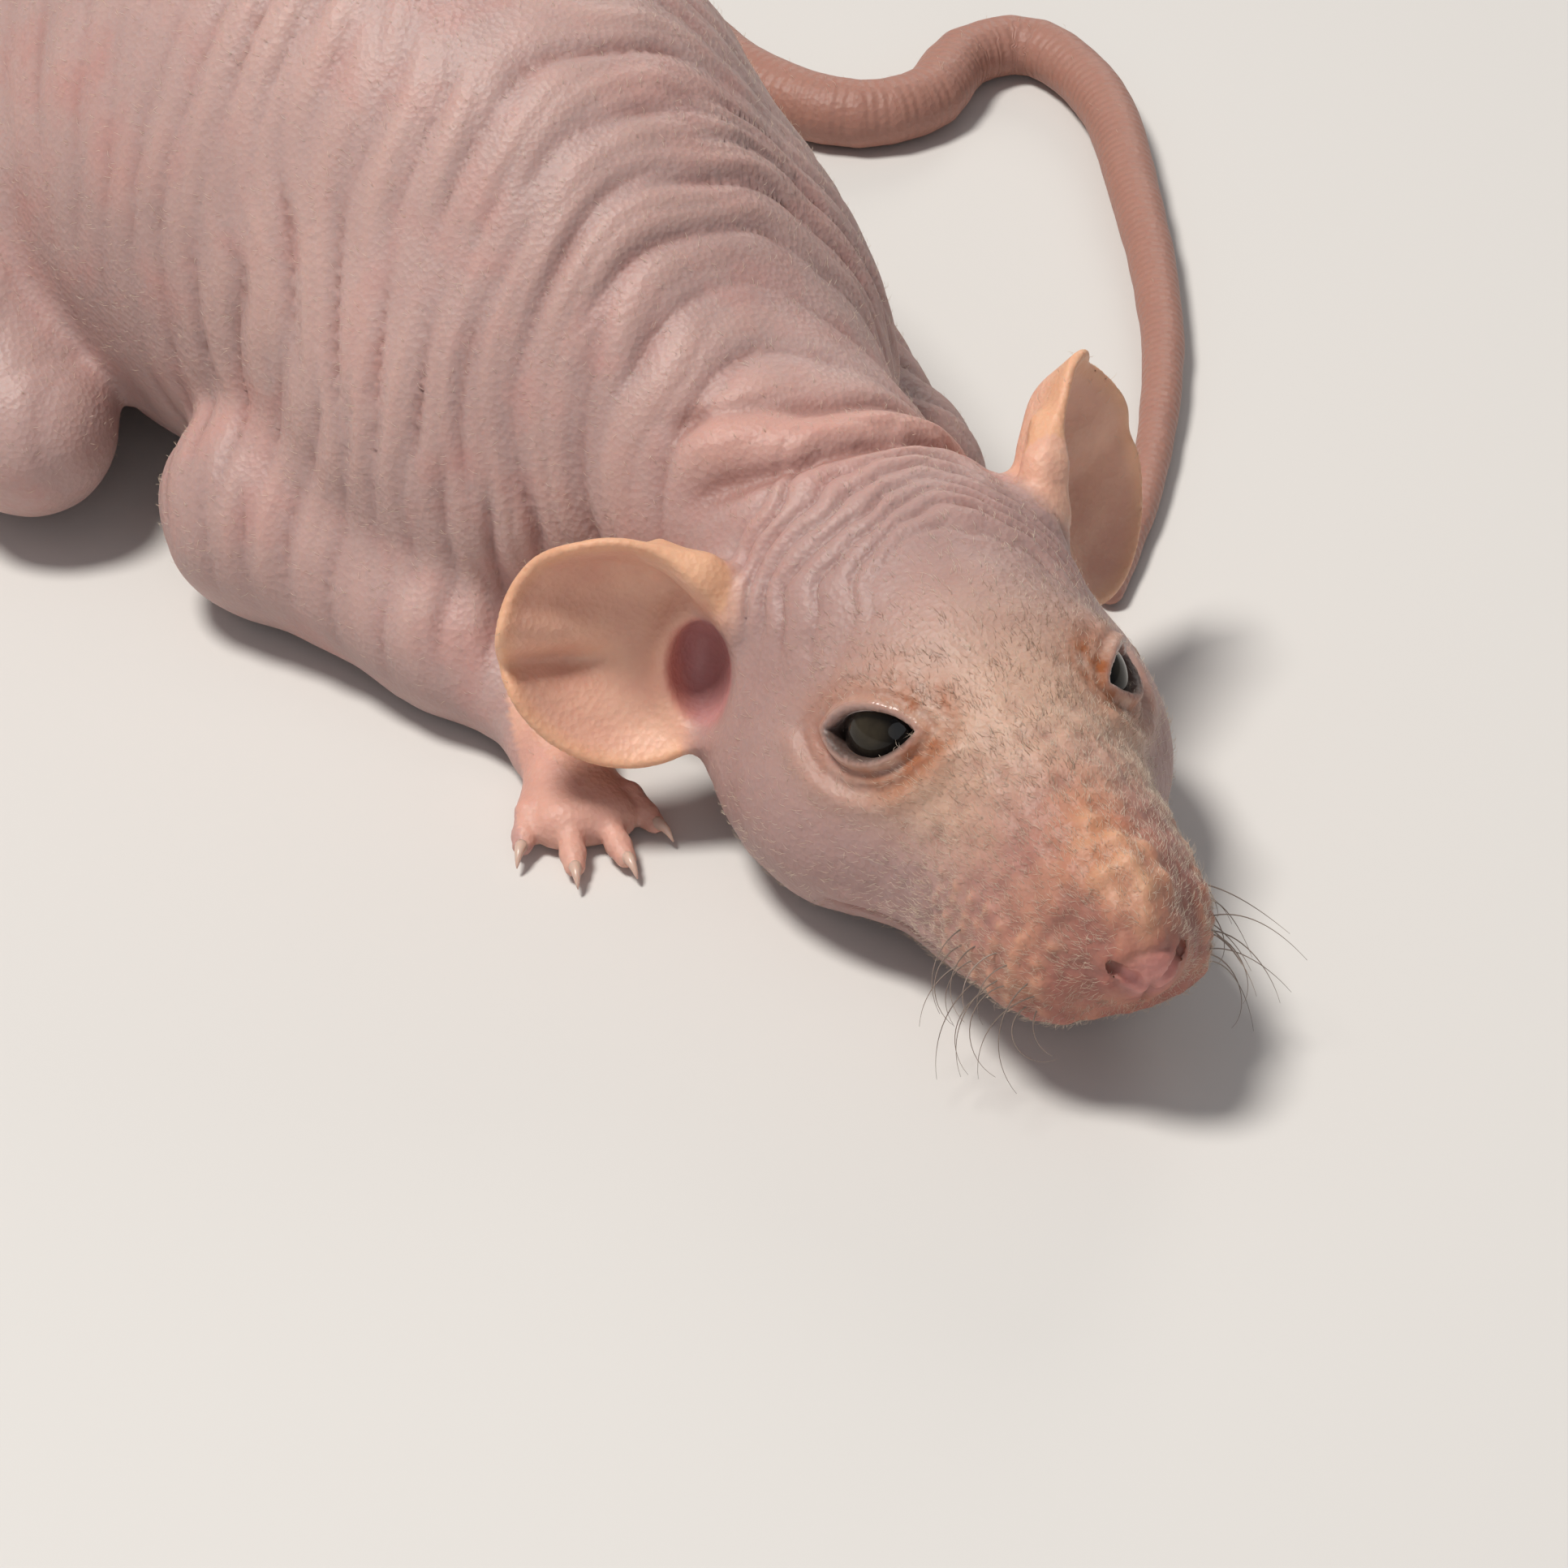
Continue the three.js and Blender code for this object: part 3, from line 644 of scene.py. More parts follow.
def warts(q):
    """Bumps on the end of the muzzle, and small ones in rows on the whisker pads."""
    rng = np.random.default_rng(21)
    d = np.zeros(len(q))
    for ahead, aside, tall in WARTS:
        away = (q[:, 0] - ahead) ** 2 + (q[:, 1] - aside) ** 2
        d += tall * np.exp(-away / 0.75) * (q[:, 2] > -4)
    for side in (1, -1):
        for row in range(5):
            for place in range(7):
                ahead = 12.0 + 1.75 * place + rng.normal(0, 0.15)
                height = -3.6 - 1.2 * row + rng.normal(0, 0.15)
                away = (q[:, 0] - ahead) ** 2 + (q[:, 2] - height) ** 2
                d += 0.28 * np.exp(-away / 0.2) * (q[:, 1] * side > 1.5)
    return d


def relief(p):
    """How far the skin stands out from its plain form."""
    q = to_head(p)
    on_head = ease((q[:, 0] + 24) / 6)
    d = body_folds(p) * (1 - ease((q[:, 0] + 25) / 5))
    head = brow_folds(q) + muzzle_folds(q) + warts(q)
    for side in (1, -1):
        head += lid_folds(q, side) * (q[:, 1] * side > 0)
    rough = ease((q[:, 0] - 4) / 8)
    head += (0.08 * wander(q, 2.6, 31) + 0.06 * wander(q, 1.3, 33)) * mix(0.3, 1.4, rough)
    return d + head * on_head + nape_crease(q) + 0.05 * wander(p, 5, 41)


def on_ear(p):
    """0 on the body, 1 on the pinna of an ear, and the same for the inside of its canal."""
    share = np.zeros(len(p))
    canal = np.zeros(len(p))
    near = (length(p - ear_frame(1)[0]) < 20) | (length(p - ear_frame(-1)[0]) < 20)
    bare = join(trunk_field(p[near]), head_field(p[near]), 5)
    share[near] = ease((bare - 0.2) / 1.6)
    for side in (1, -1):
        canal = np.maximum(canal, ease((0.7 - canal_field(p, side)) / 1.4))
    return share, canal


def on_tail(p):
    """0 on the body, 1 on the tail, and how far along the tail a point lies."""
    share = np.zeros(len(p))
    run = np.zeros(len(p))
    best = np.full(len(p), 2.5)
    step = TAIL_LENGTH / (len(TAIL_POINTS) - 1)
    for i, (a, b) in enumerate(zip(TAIL_POINTS, TAIL_POINTS[1:])):
        near = np.nonzero(np.all(np.abs(p - (a + b) / 2) < 10, axis=1))[0]
        if len(near) == 0:
            continue
        d = rod(p[near], a, b, TAIL_RADII[i], TAIL_RADII[i + 1])
        t = np.clip((p[near] - a) @ (b - a) / ((b - a) @ (b - a)), 0, 1)
        closer = d < best[near]
        best[near[closer]] = d[closer]
        run[near[closer]] = (i + t[closer]) * step
    near = best < 2
    share[near] = ease((1.6 - best[near]) / 1.2) * ease((trunk_field(p[near]) - 0.2) / 2.5)
    return share, run


def on_feet(p):
    """0 on the body, 1 on the hands and feet."""
    share = np.zeros(len(p))
    for name in FEET:
        share = np.maximum(share, ease((1.4 - near_foot(p, name)) / 1.4))
    return share


def add_object(name, data):
    made = bpy.data.objects.new(name, data)
    bpy.context.scene.collection.objects.link(made)
    return made


def new_mesh(name, points, faces):
    mesh = bpy.data.meshes.new(name)
    mesh.from_pydata((np.asarray(points) * MM).tolist(), [], [list(f) for f in faces])
    mesh.validate()
    mesh.polygons.foreach_set("use_smooth", [True] * len(mesh.polygons))
    return add_object(name, mesh)


def attribute(made, name, values):
    layer = made.data.attributes.new(name, "FLOAT", "POINT")
    layer.data.foreach_set("value", np.asarray(values, np.float32))


def lid_marks(q):
    """Where the rims of the lids, the stains by the eyes, the dark lash lines and the wet edges lie."""
    marks = {name: np.zeros(len(q)) for name in ("rim", "stain", "lash", "wet")}
    for side in (1, -1):
        outline, away = almond(q, side)
        _, long, short = eye_frame(side)
        d = q - eye_centre(side)
        front = (away > 0) & (q[:, 1] * side > 0)
        below = ease((d @ short + 0.2) / 0.8)
        toward_nose = ease((d @ long + 1.5) / 4)
        ring = bell(outline, 1.2, 2.2) * mix(0.3, 0.8, toward_nose * below)
        patch = bell(length(q - (4.2, 6 * side, 4.2)), 0, 1.9)
        found = {
            "rim": 1 - ease((outline - 0.25) / 0.5),
            "stain": np.minimum(ring + patch, 1),
            "lash": (1 - ease((outline - 0.1) / 0.35)) * below,
            "wet": (1 - ease((outline - 0.3) / 0.6)) * (1 - below),
        }
        for name, values in found.items():
            marks[name] = np.maximum(marks[name], np.where(front, values, 0))
    return marks


def ear_edge(p, ears):
    """1 along the rims of the ears, and 0 away from them."""
    rho = np.zeros(len(p))
    for side in (1, -1):
        e = to_ear(p, side)
        near = np.abs(e[:, 2]) < 8
        rho = np.maximum(rho, near * bowl_height(*ear_plane(e), side)[1] * ears)
    return ease((rho - 0.82) / 0.15) * (rho < 1.3)


def skin_marks(p, out, ears, canals):
    """The shares by which the skin's tints, painted highlights and painted shade among them, are laid on,
    from 0 to 1 at each point.
    """
    q = to_head(p)
    tail, run = on_tail(p)
    nape = bell(q[:, 0] + 20.5 + 0.028 * q[:, 1] ** 2, 0, 3.5) * ease((14 - np.abs(q[:, 1])) / 5)
    bridge = np.exp(-(((q[:, 0] - 19) / 4.5) ** 2 + ((q[:, 1] + 0.4) / 2.6) ** 2))
    brow = bell(q[:, 0], 8, 9) * ease((q[:, 2] + 6) / 6) * ease((q[:, 0] + 14) / 10)
    return {
        **lid_marks(q),
        "head": ease((q[:, 0] + 20) / 14),
        "muzzle": ease((q[:, 0] - 8) / 16),
        "brow": brow,
        "bridge": bridge * ease((q[:, 2] + 5) / 2),
        "nose": 1 - ease((length((q - NOSE_AT) / (1, 1.1, 1)) - 1.3) / 1.1),
        # The warts' own paler tone, with a painted highlight: lightest where they stand tallest, at their
        # tops
        "wart_tone_and_highlight": np.clip(warts(q) / 0.6, 0, 1) * ease((q[:, 0] - 10) / 4),
        "nape": nape * (1 - ears),
        "ear": ears,
        "canal": canals,
        "edge": ear_edge(p, ears),
        # Painted shade: the hollows between the folds and wrinkles are darkened, as where shade falls in them
        "shaded_hollow": np.clip(-out / 0.32, 0, 1),
        # Painted highlight: the crests of the folds and bumps are lightened, as where the light falls on them
        "lit_crest": np.clip(out / 0.4, 0, 1),
        "tail": tail,
        "tail_run": run,
        "foot": on_feet(p),
    }


def make_skin():
    points, faces = surface(body_field, MESH_LOW, MESH_HIGH)
    points, normals = settle(body_field, points)
    ears, canals = on_ear(points)
    out = relief(points) * (1 - ears) * ease((points[:, 2] + 0.4) / 1.6)
    points = points + normals * out[:, None]
    points[:, 2] = np.maximum(points[:, 2], 0)
    made = new_mesh("skin", points, faces)
    for name, values in skin_marks(points, out, ears, canals).items():
        attribute(made, name, values)
    return made, points, faces


class Shading:
    """One material and the nodes that feed its shader."""

    def __init__(self, name):
        self.material = bpy.data.materials.new(name)
        self.material.use_nodes = True
        self.tree = self.material.node_tree
        self.inputs = self.tree.nodes["Principled BSDF"].inputs

    def feed(self, socket, value):
        """Gives a socket a number, a colour or another node's output."""
        if isinstance(value, bpy.types.NodeSocket):
            self.tree.links.new(value, socket)
        elif isinstance(value, tuple):
            socket.default_value = (*value, 1)
        else:
            socket.default_value = value

    def node(self, kind, **values):
        made = self.tree.nodes.new(kind)
        for key, value in values.items():
            if key in made.inputs:
                made.inputs[key].default_value = value
            else:
                setattr(made, key, value)
        return made

    def maths(self, operation, *values):
        made = self.node("ShaderNodeMath", operation=operation)
        for socket, value in zip(made.inputs, values):
            self.feed(socket, value)
        return made.outputs[0]

    def share(self, name, factor=1.0):
        """A mark of the mesh, times a factor."""
        mark = self.node("ShaderNodeAttribute", attribute_name=name)
        return self.maths("MULTIPLY", mark.outputs["Fac"], factor)

    def blend(self, factor, first, second):
        """A mix of two colours; each may be a fixed colour or another node's output."""
        made = self.node("ShaderNodeMix", data_type="RGBA")
        for index, value in ((0, factor), (6, first), (7, second)):
            self.feed(made.inputs[index], value)
        return made.outputs[2]

    def texture(self, kind, output, **values):
        """A texture that is laid out by place, in metres."""
        made = self.node(kind, **values)
        self.feed(made.inputs["Vector"], self.node("ShaderNodeTexCoord").outputs["Object"])
        return made.outputs[output]

    def noise(self, scale, detail):
        return self.texture("ShaderNodeTexNoise", "Fac", Scale=scale, Detail=detail)

    def spread_out(self, value, **ends):
        """The value laid out anew between the ends of a range."""
        ramp = self.node("ShaderNodeMapRange", **ends)
        self.feed(ramp.inputs["Value"], value)
        return ramp.outputs["Result"]

    def mottle(self, scale, detail, low, high):
        """Patches from 0 to 1, where a noise passes from its low value to its high one."""
        noise = self.texture("ShaderNodeTexNoise", "Fac", Scale=scale, Detail=detail, Roughness=0.6)
        return self.spread_out(noise, **{"From Min": low, "From Max": high})

    def mottled(self, scale, detail, low, high, first, second):
        return self.blend(self.mottle(scale, detail, low, high), first, second)

    def paint(self, colour):
        self.feed(self.inputs["Base Color"], colour)

    def roughen(self, height, strength, distance):
        bump = self.node("ShaderNodeBump", Strength=strength, Distance=distance)
        self.feed(bump.inputs["Height"], height)
        self.feed(self.inputs["Normal"], bump.outputs["Normal"])

    def set(self, **values):
        """Sets the shader's own sockets, named with low lines for spaces."""
        for name, value in values.items():
            self.inputs[name.replace("_", " ")].default_value = value


# Tints of the skin, among them painted highlights, painted shade and a painted glow, in the order they are
# laid on: the mark that says where, how strongly, and the colour, or the scale, detail, low and high value of
# a mottle and its two colours
SKIN_BASE = (38, 4, 0.35, 0.65, (0.39, 0.255, 0.235), (0.48, 0.325, 0.30))
BLUSH = (160, 3, 0.5, 0.8)
BLUSH_TINT = (0.46, 0.24, 0.215)
# The orange of the ears' thin rims, painted bright as the glow of light shining through them
EAR_RIM_GLOW = (0.74, 0.40, 0.21)
TINTS = [
    # Painted highlight on the crests of the folds and bumps
    ("lit_crest", 0.4, (0.58, 0.37, 0.32)),
    ("head", 0.8, (0.37, 0.23, 0.21)),
    ("brow", 0.7, (0.60, 0.385, 0.27)),
    ("muzzle", 0.9, (190, 3, 0.4, 0.62, (0.35, 0.12, 0.09), (0.46, 0.205, 0.13))),
    ("bridge", 0.7, (0.50, 0.20, 0.09)),
    ("nape", 0.5, (0.60, 0.29, 0.23)),
    ("ear", 0.9, (150, 3, 0.35, 0.7, (0.66, 0.345, 0.25), (0.80, 0.48, 0.34))),
    ("canal", 0.85, (0.60, 0.19, 0.20)),
    ("tail", 0.9, (0.37, 0.18, 0.135)),
    ("foot", 0.6, (0.58, 0.31, 0.265)),
    ("nose", 0.7, (0.66, 0.29, 0.26)),
    # Painted shade in the hollows of the folds and wrinkles
    ("shaded_hollow", 0.6, (0.27, 0.12, 0.10)),
    ("stain", 1.0, (0.34, 0.105, 0.035)),
    # The warts' paler tone and a painted highlight on their tops
    ("wart_tone_and_highlight", 0.75, (0.64, 0.37, 0.23)),
    ("rim", 0.6, (0.38, 0.26, 0.24)),
    ("lash", 0.85, (0.045, 0.028, 0.022)),
]
STAIN_SPOTS = (330, 5, 0.36, 0.54)
DRY, WET = 0.5, 0.12


def skin_material():
    made = Shading("bare_skin")
    colour = made.mottled(*SKIN_BASE)
    colour = made.mottled(*BLUSH, colour, BLUSH_TINT)
    for name, strength, tint in TINTS:
        where = made.share(name, strength)
        if len(tint) > 3:
            tint = made.mottled(*tint)
        if name == "ear":
            # Painted glow: the rims' own orange, brightened as if light shone through the thin rims
            tint = made.blend(made.share("edge", 0.6), tint, EAR_RIM_GLOW)
        if name == "stain":
            where = made.maths("MULTIPLY", made.mottle(*STAIN_SPOTS), where)
        colour = made.blend(where, colour, tint)
    made.paint(colour)
    gloss = made.spread_out(made.share("wet"), **{"To Min": DRY, "To Max": WET})
    made.feed(made.inputs["Roughness"], gloss)
    made.set(Subsurface_Weight=0.3, Subsurface_Radius=(1.0, 0.35, 0.2), Subsurface_Scale=0.0009)
    made.set(Specular_IOR_Level=0.4)
    grain = made.texture("ShaderNodeTexVoronoi", "Distance", Scale=2300)
    pores = made.maths("ADD", grain, made.noise(1700, 5))
    rings = made.maths("SINE", made.share("tail_run", 2 * math.pi / TAIL_RING))
    scales = made.maths("MULTIPLY", rings, made.share("tail", 0.7))
    made.roughen(made.maths("ADD", pores, scales), 0.3, 0.00018)
    return made.material


def eye_material():
    made = Shading("wet_eye")
    iris = made.node("ShaderNodeAttribute", attribute_name="iris").outputs["Fac"]
    cloud = made.noise(700, 3)
    grey = made.blend(cloud, (0.010, 0.008, 0.006), (0.052, 0.041, 0.027))
    made.paint(made.blend(iris, (0.005, 0.004, 0.004), grey))
    made.set(Roughness=0.05, Specular_IOR_Level=0.2)
    made.roughen(cloud, 0.03, 0.0001)
    return made.material


def tear_material():
    made = Shading("tear_sheen")
    # Painted sheen: the wet film along the lid is painted pale, and its paler beads are painted glints
    beads = made.noise(2600, 2)
    made.paint(made.blend(beads, (0.30, 0.20, 0.18), (0.62, 0.50, 0.47)))
    made.set(Roughness=0.05)
    made.roughen(beads, 0.8, 0.0002)
    return made.material


def claw_material():
    made = Shading("horn")
    made.paint(made.blend(made.noise(700, 2), (0.50, 0.33, 0.26), (0.66, 0.50, 0.42)))
    made.set(Roughness=0.3, Subsurface_Weight=0.2, Subsurface_Scale=0.001)
    return made.material


def hair_material(name, dark, pale):
    made = Shading(name)
    made.paint(made.blend(made.noise(240, 1), dark, pale))
    made.set(Roughness=0.4)
    return made.material


def rings_mesh(rings, first=None, last=None):
    """Faces between rings of points, closed with a fan or a point at each end."""
    count = len(rings[0])
    points = [p for ring in rings for p in ring]
    faces = []
    for i in range(len(rings) - 1):
        for j in range(count):
            k = (j + 1) % count
            faces.append((i * count + j, i * count + k, (i + 1) * count + k, (i + 1) * count + j))
    for ring, tip, flip in ((0, first, True), (len(rings) - 1, last, False)):
        points.append(np.mean(rings[ring], 0) if tip is None else tip)
        for j in range(count):
            k = (j + 1) % count
            a, b = ring * count + j, ring * count + k
            faces.append((b, a, len(points) - 1) if flip else (a, b, len(points) - 1))
    return points, faces


def tube_rings(route, radii, sides):
    """Rings round a route, turned as little as possible from one to the next."""
    route = np.asarray(route, float)
    ways = np.gradient(route, axis=0)
    side = unit(np.cross(ways[0], [0.3, 0.5, 0.8]))
    rings = []
    for point, way, radius in zip(route, ways, radii):
        way = unit(way)
        side = unit(side - way * (side @ way))
        other = np.cross(way, side)
        angles = np.linspace(0, 2 * math.pi, sides, endpoint=False)
        rings.append([point + radius * (math.cos(a) * side + math.sin(a) * other) for a in angles])
    return rings


def make_eye(name, side):
    """An eyeball with a slightly bulging cornea, its pole on the way out."""
    outward, long, short = (head_way(v) for v in eye_frame(side))
    centre = from_head(eye_centre(side))
    turns = np.linspace(0, 2 * math.pi, 64, endpoint=False)
    round_pole = [math.cos(t) * long + math.sin(t) * short for t in turns]
    rings = []
    irises = []
    for angle in np.linspace(0.03, math.pi - 0.03, 48):
        radius = EYE_RADIUS * (1 + 0.035 * math.exp(-((angle / 0.7) ** 2)))
        out = outward * math.cos(angle)
        rings.append([centre + radius * (out + math.sin(angle) * way) for way in round_pole])
        irises += [float(1 - ease((angle - 0.2) / 0.4))] * len(turns)
    if side < 0:
        rings = [ring[::-1] for ring in rings]
    points, faces = rings_mesh(rings)
    made = new_mesh("eyeball_" + name, points, [f[::-1] for f in faces])
    attribute(made, "iris", irises + [1.0, 0.0])
    return made


def make_claws():
    points, faces = [], []
    for _, _, claws in PLANS.values():
        for root, way in claws:
            reach = np.linspace(0, 1, 9)
            route = [root + way * (1.9 * t) + UP * (0.3 * math.sin(2.2 * t) - 0.85 * t**2) for t in reach]
            radii = [0.46 * (1 - t) ** 0.7 + 0.04 for t in reach]
            new_points, new_faces = rings_mesh(tube_rings(route, radii, 10))
            faces += [tuple(i + len(points) for i in f) for f in new_faces]
            points += new_points
    points = [np.array([p[0], p[1], max(p[2], 0.02)]) for p in points]
    return new_mesh("claws", points, faces)


def make_tear_line(name, side):
    """The wet edge along the upper lid."""
    outward, long, short = (head_way(v) for v in eye_frame(side))
    half = EYE_OPENING / 2
    radius = lid_radius(UPPER_LID)
    route = []
    for a in np.linspace(-0.9 * half, 0.97 * half, 28):
        b = -(math.sqrt(radius**2 - a**2) - (radius - UPPER_LID)) - LID_TILT * a / half + LID_DROP
        c = math.sqrt(max((EYE_RADIUS * 1.03) ** 2 - a**2 - b**2, 1))
        route.append(from_head(eye_centre(side)) + long * a + short * b + outward * c)
    radii = [0.05 + 0.12 * math.sin(math.pi * t) for t in np.linspace(0.04, 0.96, len(route))]
    points, faces = rings_mesh(tube_rings(route, radii, 10))
    return new_mesh("tear_line_" + name, points, faces)


# How far across the patch of one hair is on the map
PATCH = 0.003


def unwrap(p):
    """A place on an unwrap of the skin: along the body and round it."""
    along = (p[:, 1] + 96) / 210
    middle = np.where(p[:, 1] < -40, HEAD_AT[0], sway(p[:, 1]))
    around = np.arctan2(p[:, 0] - middle, p[:, 2] - 14) / (2 * math.pi) + 0.5
    return np.stack([along, around], 1)


def add_patches(made, places):
    """The map that the hairs' colours are baked to, from a place for each point."""
    layer = made.data.uv_layers.new(name="OFBake")
    corner = np.empty(len(made.data.loops), np.int64)
    made.data.loops.foreach_get("vertex_index", corner)
    layer.data.foreach_set("uv", np.asarray(places, np.float32)[corner].ravel())


def scatter(points, faces, weight, count, seed):
    """Places spread over the skin at random, more where the weight is larger, and the normals there."""
    rng = np.random.default_rng(seed)
    corners = points[faces]
    normal = np.cross(corners[:, 2] - corners[:, 0], corners[:, 3] - corners[:, 1])
    area = length(normal)
    chance = area * weight(corners.mean(1), normal / np.maximum(area, 1e-9)[:, None])
    chosen = rng.choice(len(faces), count, p=chance / chance.sum())
    u, v = rng.random((2, count, 1))
    c = corners[chosen]
    place = (c[:, 0] * (1 - u) + c[:, 1] * u) * (1 - v) + (c[:, 3] * (1 - u) + c[:, 2] * u) * v
    return place, normal[chosen] / np.maximum(area[chosen], 1e-9)[:, None]


def clear_of_eyes(q):
    outlines = [np.where(q[:, 1] * side > 0, almond(q, side)[0], 9) for side in (1, -1)]
    return ease((np.minimum(*outlines) - 0.9) / 0.8)


def face_weight(p, normal):
    q = to_head(p)
    muzzle = ease((q[:, 0] - 2) / 10) + 0.15 * ease((q[:, 0] + 14) / 10)
    nose = ease((length(q - NOSE_AT) - 2.4) / 1.2)
    return muzzle * nose * clear_of_eyes(q) * (q[:, 0] > -14)


def brow_weight(p, normal):
    q = to_head(p)
    near_eye = np.zeros(len(q))
    for side in (1, -1):
        d = length((q - eye_centre(side) - (1.5, 0, 2.5)) / (5, 4.5, 4))
        near_eye = np.maximum(near_eye, np.exp(-(d**2)))
    bridge = np.exp(-(((q[:, 0] - 8) / 6) ** 2 + (q[:, 1] / 5) ** 2)) * (q[:, 2] > -4)
    patchy = ease(0.5 + 0.9 * wander(q, 3.5, 51))
    return (near_eye + 0.8 * bridge) * clear_of_eyes(q) * ease((q[:, 2] + 5) / 3) * (0.1 + patchy)


def body_weight(p, normal):
    ear = np.minimum(length(p - from_head((-16, 16, -1))), length(p - from_head((-16, -17, -2))))
    return ease((p[:, 2] - 3) / 6) * (normal[:, 2] > -0.3) * ease((ear - 9) / 4) * (p[:, 1] > -62)


def make_fuzz(name, skin_points, skin_faces, weight, count, tall, thick, lift, seed):
    """Short hairs that lean back along the body, each a bent spike of three sides."""
    rng = np.random.default_rng(seed)
    root, normal = scatter(skin_points, skin_faces, weight, count, seed + 1)
    back = -np.where(root[:, 1:2] < -35, FORWARD, (0.0, -1.0, 0.0)) + rng.normal(0, 0.35, (count, 3))
    back -= normal * np.einsum("ij,ij->i", back, normal)[:, None]
    back /= np.maximum(length(back), 1e-6)[:, None]
    rise = rng.uniform(lift[0], lift[1], (count, 1))
    long = rng.uniform(tall[0], tall[1], (count, 1))
    across = np.cross(normal, back)
    start = root - normal * 0.08
    middle = root + (back * (1 - rise) + normal * rise) * long * 0.5
    tip = middle + (back * 1.0 + normal * rise * 0.35 + across * rng.normal(0, 0.25, (count, 1))) * long * 0.5
    rings = []
    for centre, width in ((start, thick), (middle, thick * 0.8)):
        for k in range(3):
            a = 2 * math.pi * k / 3
            rings.append(centre + width * (math.cos(a) * across + math.sin(a) * normal))
    verts = np.stack([*rings, tip], 1)
    verts[..., 2] = np.maximum(verts[..., 2], 0.02)
    pattern = [(0, 2, 1), (0, 1, 4), (0, 4, 3), (1, 2, 5), (1, 5, 4)]
    pattern += [(2, 0, 3), (2, 3, 5), (3, 4, 6), (4, 5, 6), (5, 3, 6)]
    faces = (np.arange(count)[:, None, None] * 7 + np.array(pattern)).reshape(-1, 3)
    made = new_mesh(name, verts.reshape(-1, 3), faces)
    turns = [(math.cos(2 * math.pi * k / 3), math.sin(2 * math.pi * k / 3)) for k in range(3)]
    patch = np.array(turns + [(0.6 * x, 0.6 * y) for x, y in turns] + [(0, 0)]) * PATCH / 2
    add_patches(made, (unwrap(root)[:, None, :] + patch).reshape(-1, 2))
    return made


WHISKER_STEPS = 16


def whisker_route(root, side, rng):
    """A whisker that starts outward and back and curls down and forward."""
    way = unit(head_way([-0.4 + rng.normal(0, 0.2), 0.8 * side, -0.35 + rng.normal(0, 0.2)]))
    axis = unit(head_way([-0.64 * side, -0.69, -0.58 * side] + rng.normal(0, 0.2, 3)))
    long = rng.uniform(4.0, 9.0)
    curl = rng.uniform(1.2, 3.2) / WHISKER_STEPS
    turn = np.array(Matrix.Rotation(curl, 3, Vector(axis)))
    route = [root - way * 0.3]
    for _ in range(WHISKER_STEPS):
        way = turn @ way
        ahead = route[-1] + way * long / WHISKER_STEPS
        route.append(np.array([ahead[0], ahead[1], max(ahead[2], 0.12)]))
    return route


def make_whiskers():
    """Short curled whiskers in rows on both sides of the muzzle."""
    rng = np.random.default_rng(77)
    sides = 6
    points, faces, places = [], [], []
    for side in (1, -1):
        for height in (-5.8, -7.2, -8.5):
            for ahead in (15.5, 17.5, 19.3, 20.9, 22.4):
                place = ahead + rng.normal(0, 0.3), height + rng.normal(0, 0.2)
                root = muzzle_surface(*place, side)
                route = whisker_route(root, side, rng)
                radii = [0.045 * (1 - t) + 0.012 for t in np.linspace(0, 1, len(route))]
                new_points, new_faces = rings_mesh(tube_rings(route, radii, sides))
                faces += [tuple(i + len(points) for i in face) for face in new_faces]
                points += new_points
                at = unwrap(np.array([root]))[0]
                for k in range(len(new_points)):
                    angle = 2 * math.pi * (k % sides) / sides
                    far = (k // sides) / len(route)
                    places.append(at + (0.4 * PATCH * math.cos(angle) * (1 - far), PATCH * (far - 0.5)))
    made = new_mesh("whiskers", points, faces)
    add_patches(made, np.array(places))
    return made


def muzzle_surface(ahead, height, side):
    """Where the skin lies at a place along the muzzle and a height on it."""
    low, high = 0.0, 14.0
    for _ in range(20):
        middle = (low + high) / 2
        inside = head_field(from_head([ahead, middle * side, height])[None])[0] < 0
        low, high = (middle, high) if inside else (low, middle)
    return from_head([ahead, low * side, height])


# Camera, as the photo has it: a long lens from the front right, looking down
CAMERA_TURN = math.radians(-34)
CAMERA_RISE = math.radians(34)
CAMERA_AWAY = 420.0
CAMERA_TARGET = np.array([1.5, -57.0, 16.4])
PIXELS_PER_MM = 18.4
TARGET_PIXEL = (1233, 862)


def add_camera():
    level = math.cos(CAMERA_RISE)
    out = np.array([math.sin(CAMERA_TURN) * level, -math.cos(CAMERA_TURN) * level, math.sin(CAMERA_RISE)])
    right = unit(np.cross(UP, out))
    up = np.cross(out, right)
    focal = PIXELS_PER_MM * CAMERA_AWAY
    turn = Matrix((Vector(right), Vector(up), Vector(out))).transposed()
    yaw = math.atan2(TARGET_PIXEL[0] - PHOTO / 2, focal)
    pitch = math.atan2(TARGET_PIXEL[1] - PHOTO / 2, focal)
    turn = turn @ Matrix.Rotation(yaw, 3, "Y") @ Matrix.Rotation(pitch, 3, "X")
    data = bpy.data.cameras.new("camera")
    data.sensor_width = 36
    data.lens = 36 * focal / PHOTO
    data.clip_start = 0.01
    made = add_object("camera", data)
    made.matrix_world = turn.to_4x4()
    made.location = (CAMERA_TARGET + out * CAMERA_AWAY) * MM
    bpy.context.scene.camera = made


def add_light(name, place, aim, size, power, colour):
    data = bpy.data.lights.new(name, "AREA")
    data.shape = "DISK"
    data.size = size
    data.energy = power
    data.color = colour
    made = add_object(name, data)
    made.location = place
    made.rotation_euler = (Vector(aim) - Vector(place)).to_track_quat("-Z", "Y").to_euler()


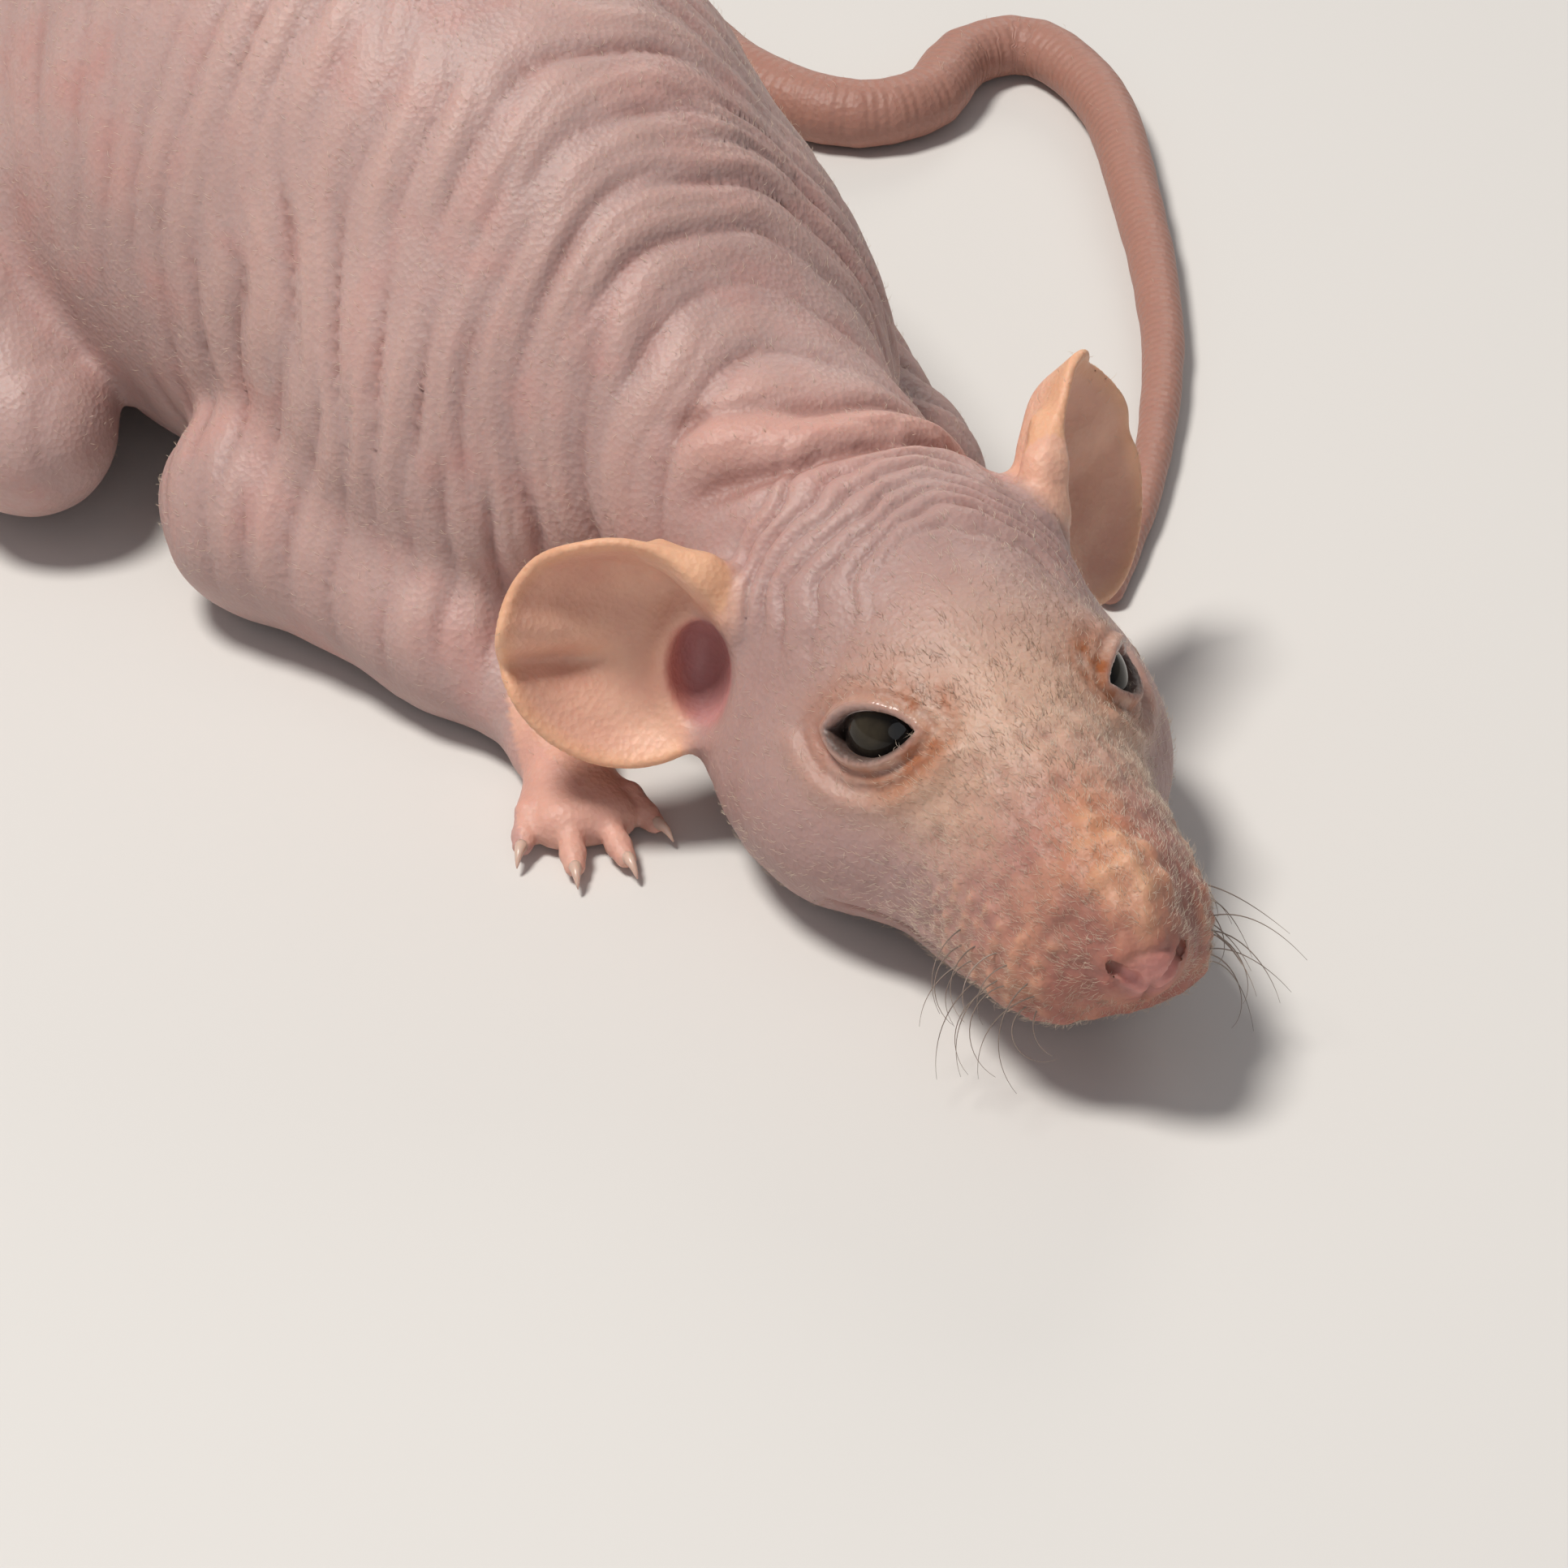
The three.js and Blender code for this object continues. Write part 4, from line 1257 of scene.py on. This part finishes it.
def add_stage():
    bpy.ops.mesh.primitive_plane_add(size=4)
    floor = bpy.context.object
    floor.name = "floor"
    look = Shading("floor")
    look.paint((0.66, 0.64, 0.62))
    look.set(Roughness=0.9)
    floor.data.materials.append(look.material)
    world = bpy.data.worlds.new("studio")
    world.use_nodes = True
    background = world.node_tree.nodes["Background"].inputs
    background["Color"].default_value = (0.86, 0.88, 0.92, 1)
    background["Strength"].default_value = 0.25
    bpy.context.scene.world = world
    bpy.context.scene.view_settings.view_transform = "Standard"
    aim = (0, -0.03, 0.015)
    add_light("key", (-0.3, 0.1, 0.85), aim, 0.26, 8.0, (1.0, 0.965, 0.91))
    add_light("fill", (-0.45, -0.85, 0.45), aim, 0.7, 1.4, (0.95, 0.97, 1.0))
    add_light("rim", (0.6, 0.5, 0.4), aim, 0.35, 1.2, (1.0, 0.95, 0.88))


# The nodes that the skin takes the place of
FLESH = ["head", "neck", "torso"] + ["tail_%d" % (i + 1) for i in range(5)]
for side_name in SIDES:
    FLESH += [part + "_" + side_name for part in ("ear", "hind_leg", "hind_foot", "fore_leg", "fore_foot")]

add_camera()
add_stage()
skin, skin_points, skin_faces = make_skin()
skin.data.materials.append(skin_material())
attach(skin, "root")
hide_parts(*FLESH)
wet = eye_material()
tear_sheen = tear_material()
for side_name, side in SIDES.items():
    eye = make_eye(side_name, side)
    eye.data.materials.append(wet)
    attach(eye, "root")
    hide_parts("eye_" + side_name)
    tear_line = make_tear_line(side_name, side)
    tear_line.data.materials.append(tear_sheen)
    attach(tear_line, "root")
claws = make_claws()
claws.data.materials.append(claw_material())
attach(claws, "root")


# Each piece of down: its weight over the skin, count, length, thickness, lean, seed and hair
FUZZ = [
    ("fuzz_face", face_weight, 10000, (0.5, 1.2), 0.016, (0.15, 0.5), 101, "pale"),
    ("fuzz_brow", brow_weight, 1100, (0.6, 1.4), 0.014, (0.1, 0.35), 111, "dark"),
    ("fuzz_body", body_weight, 9000, (0.5, 1.1), 0.018, (0.2, 0.6), 121, "pale"),
]
hairs = {
    "pale": hair_material("pale_hair", (0.50, 0.36, 0.26), (0.78, 0.66, 0.54)),
    "dark": hair_material("dark_hair", (0.14, 0.075, 0.045), (0.40, 0.26, 0.17)),
}
for name, weight, count, tall, thick, lift, seed, tone in FUZZ:
    fuzz = make_fuzz(name, skin_points, skin_faces, weight, count, tall, thick, lift, seed)
    fuzz.data.materials.append(hairs[tone])
    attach(fuzz, "root")
whiskers = make_whiskers()
whiskers.data.materials.append(hair_material("whisker_hair", (0.05, 0.035, 0.03), (0.42, 0.32, 0.26)))
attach(whiskers, "root")
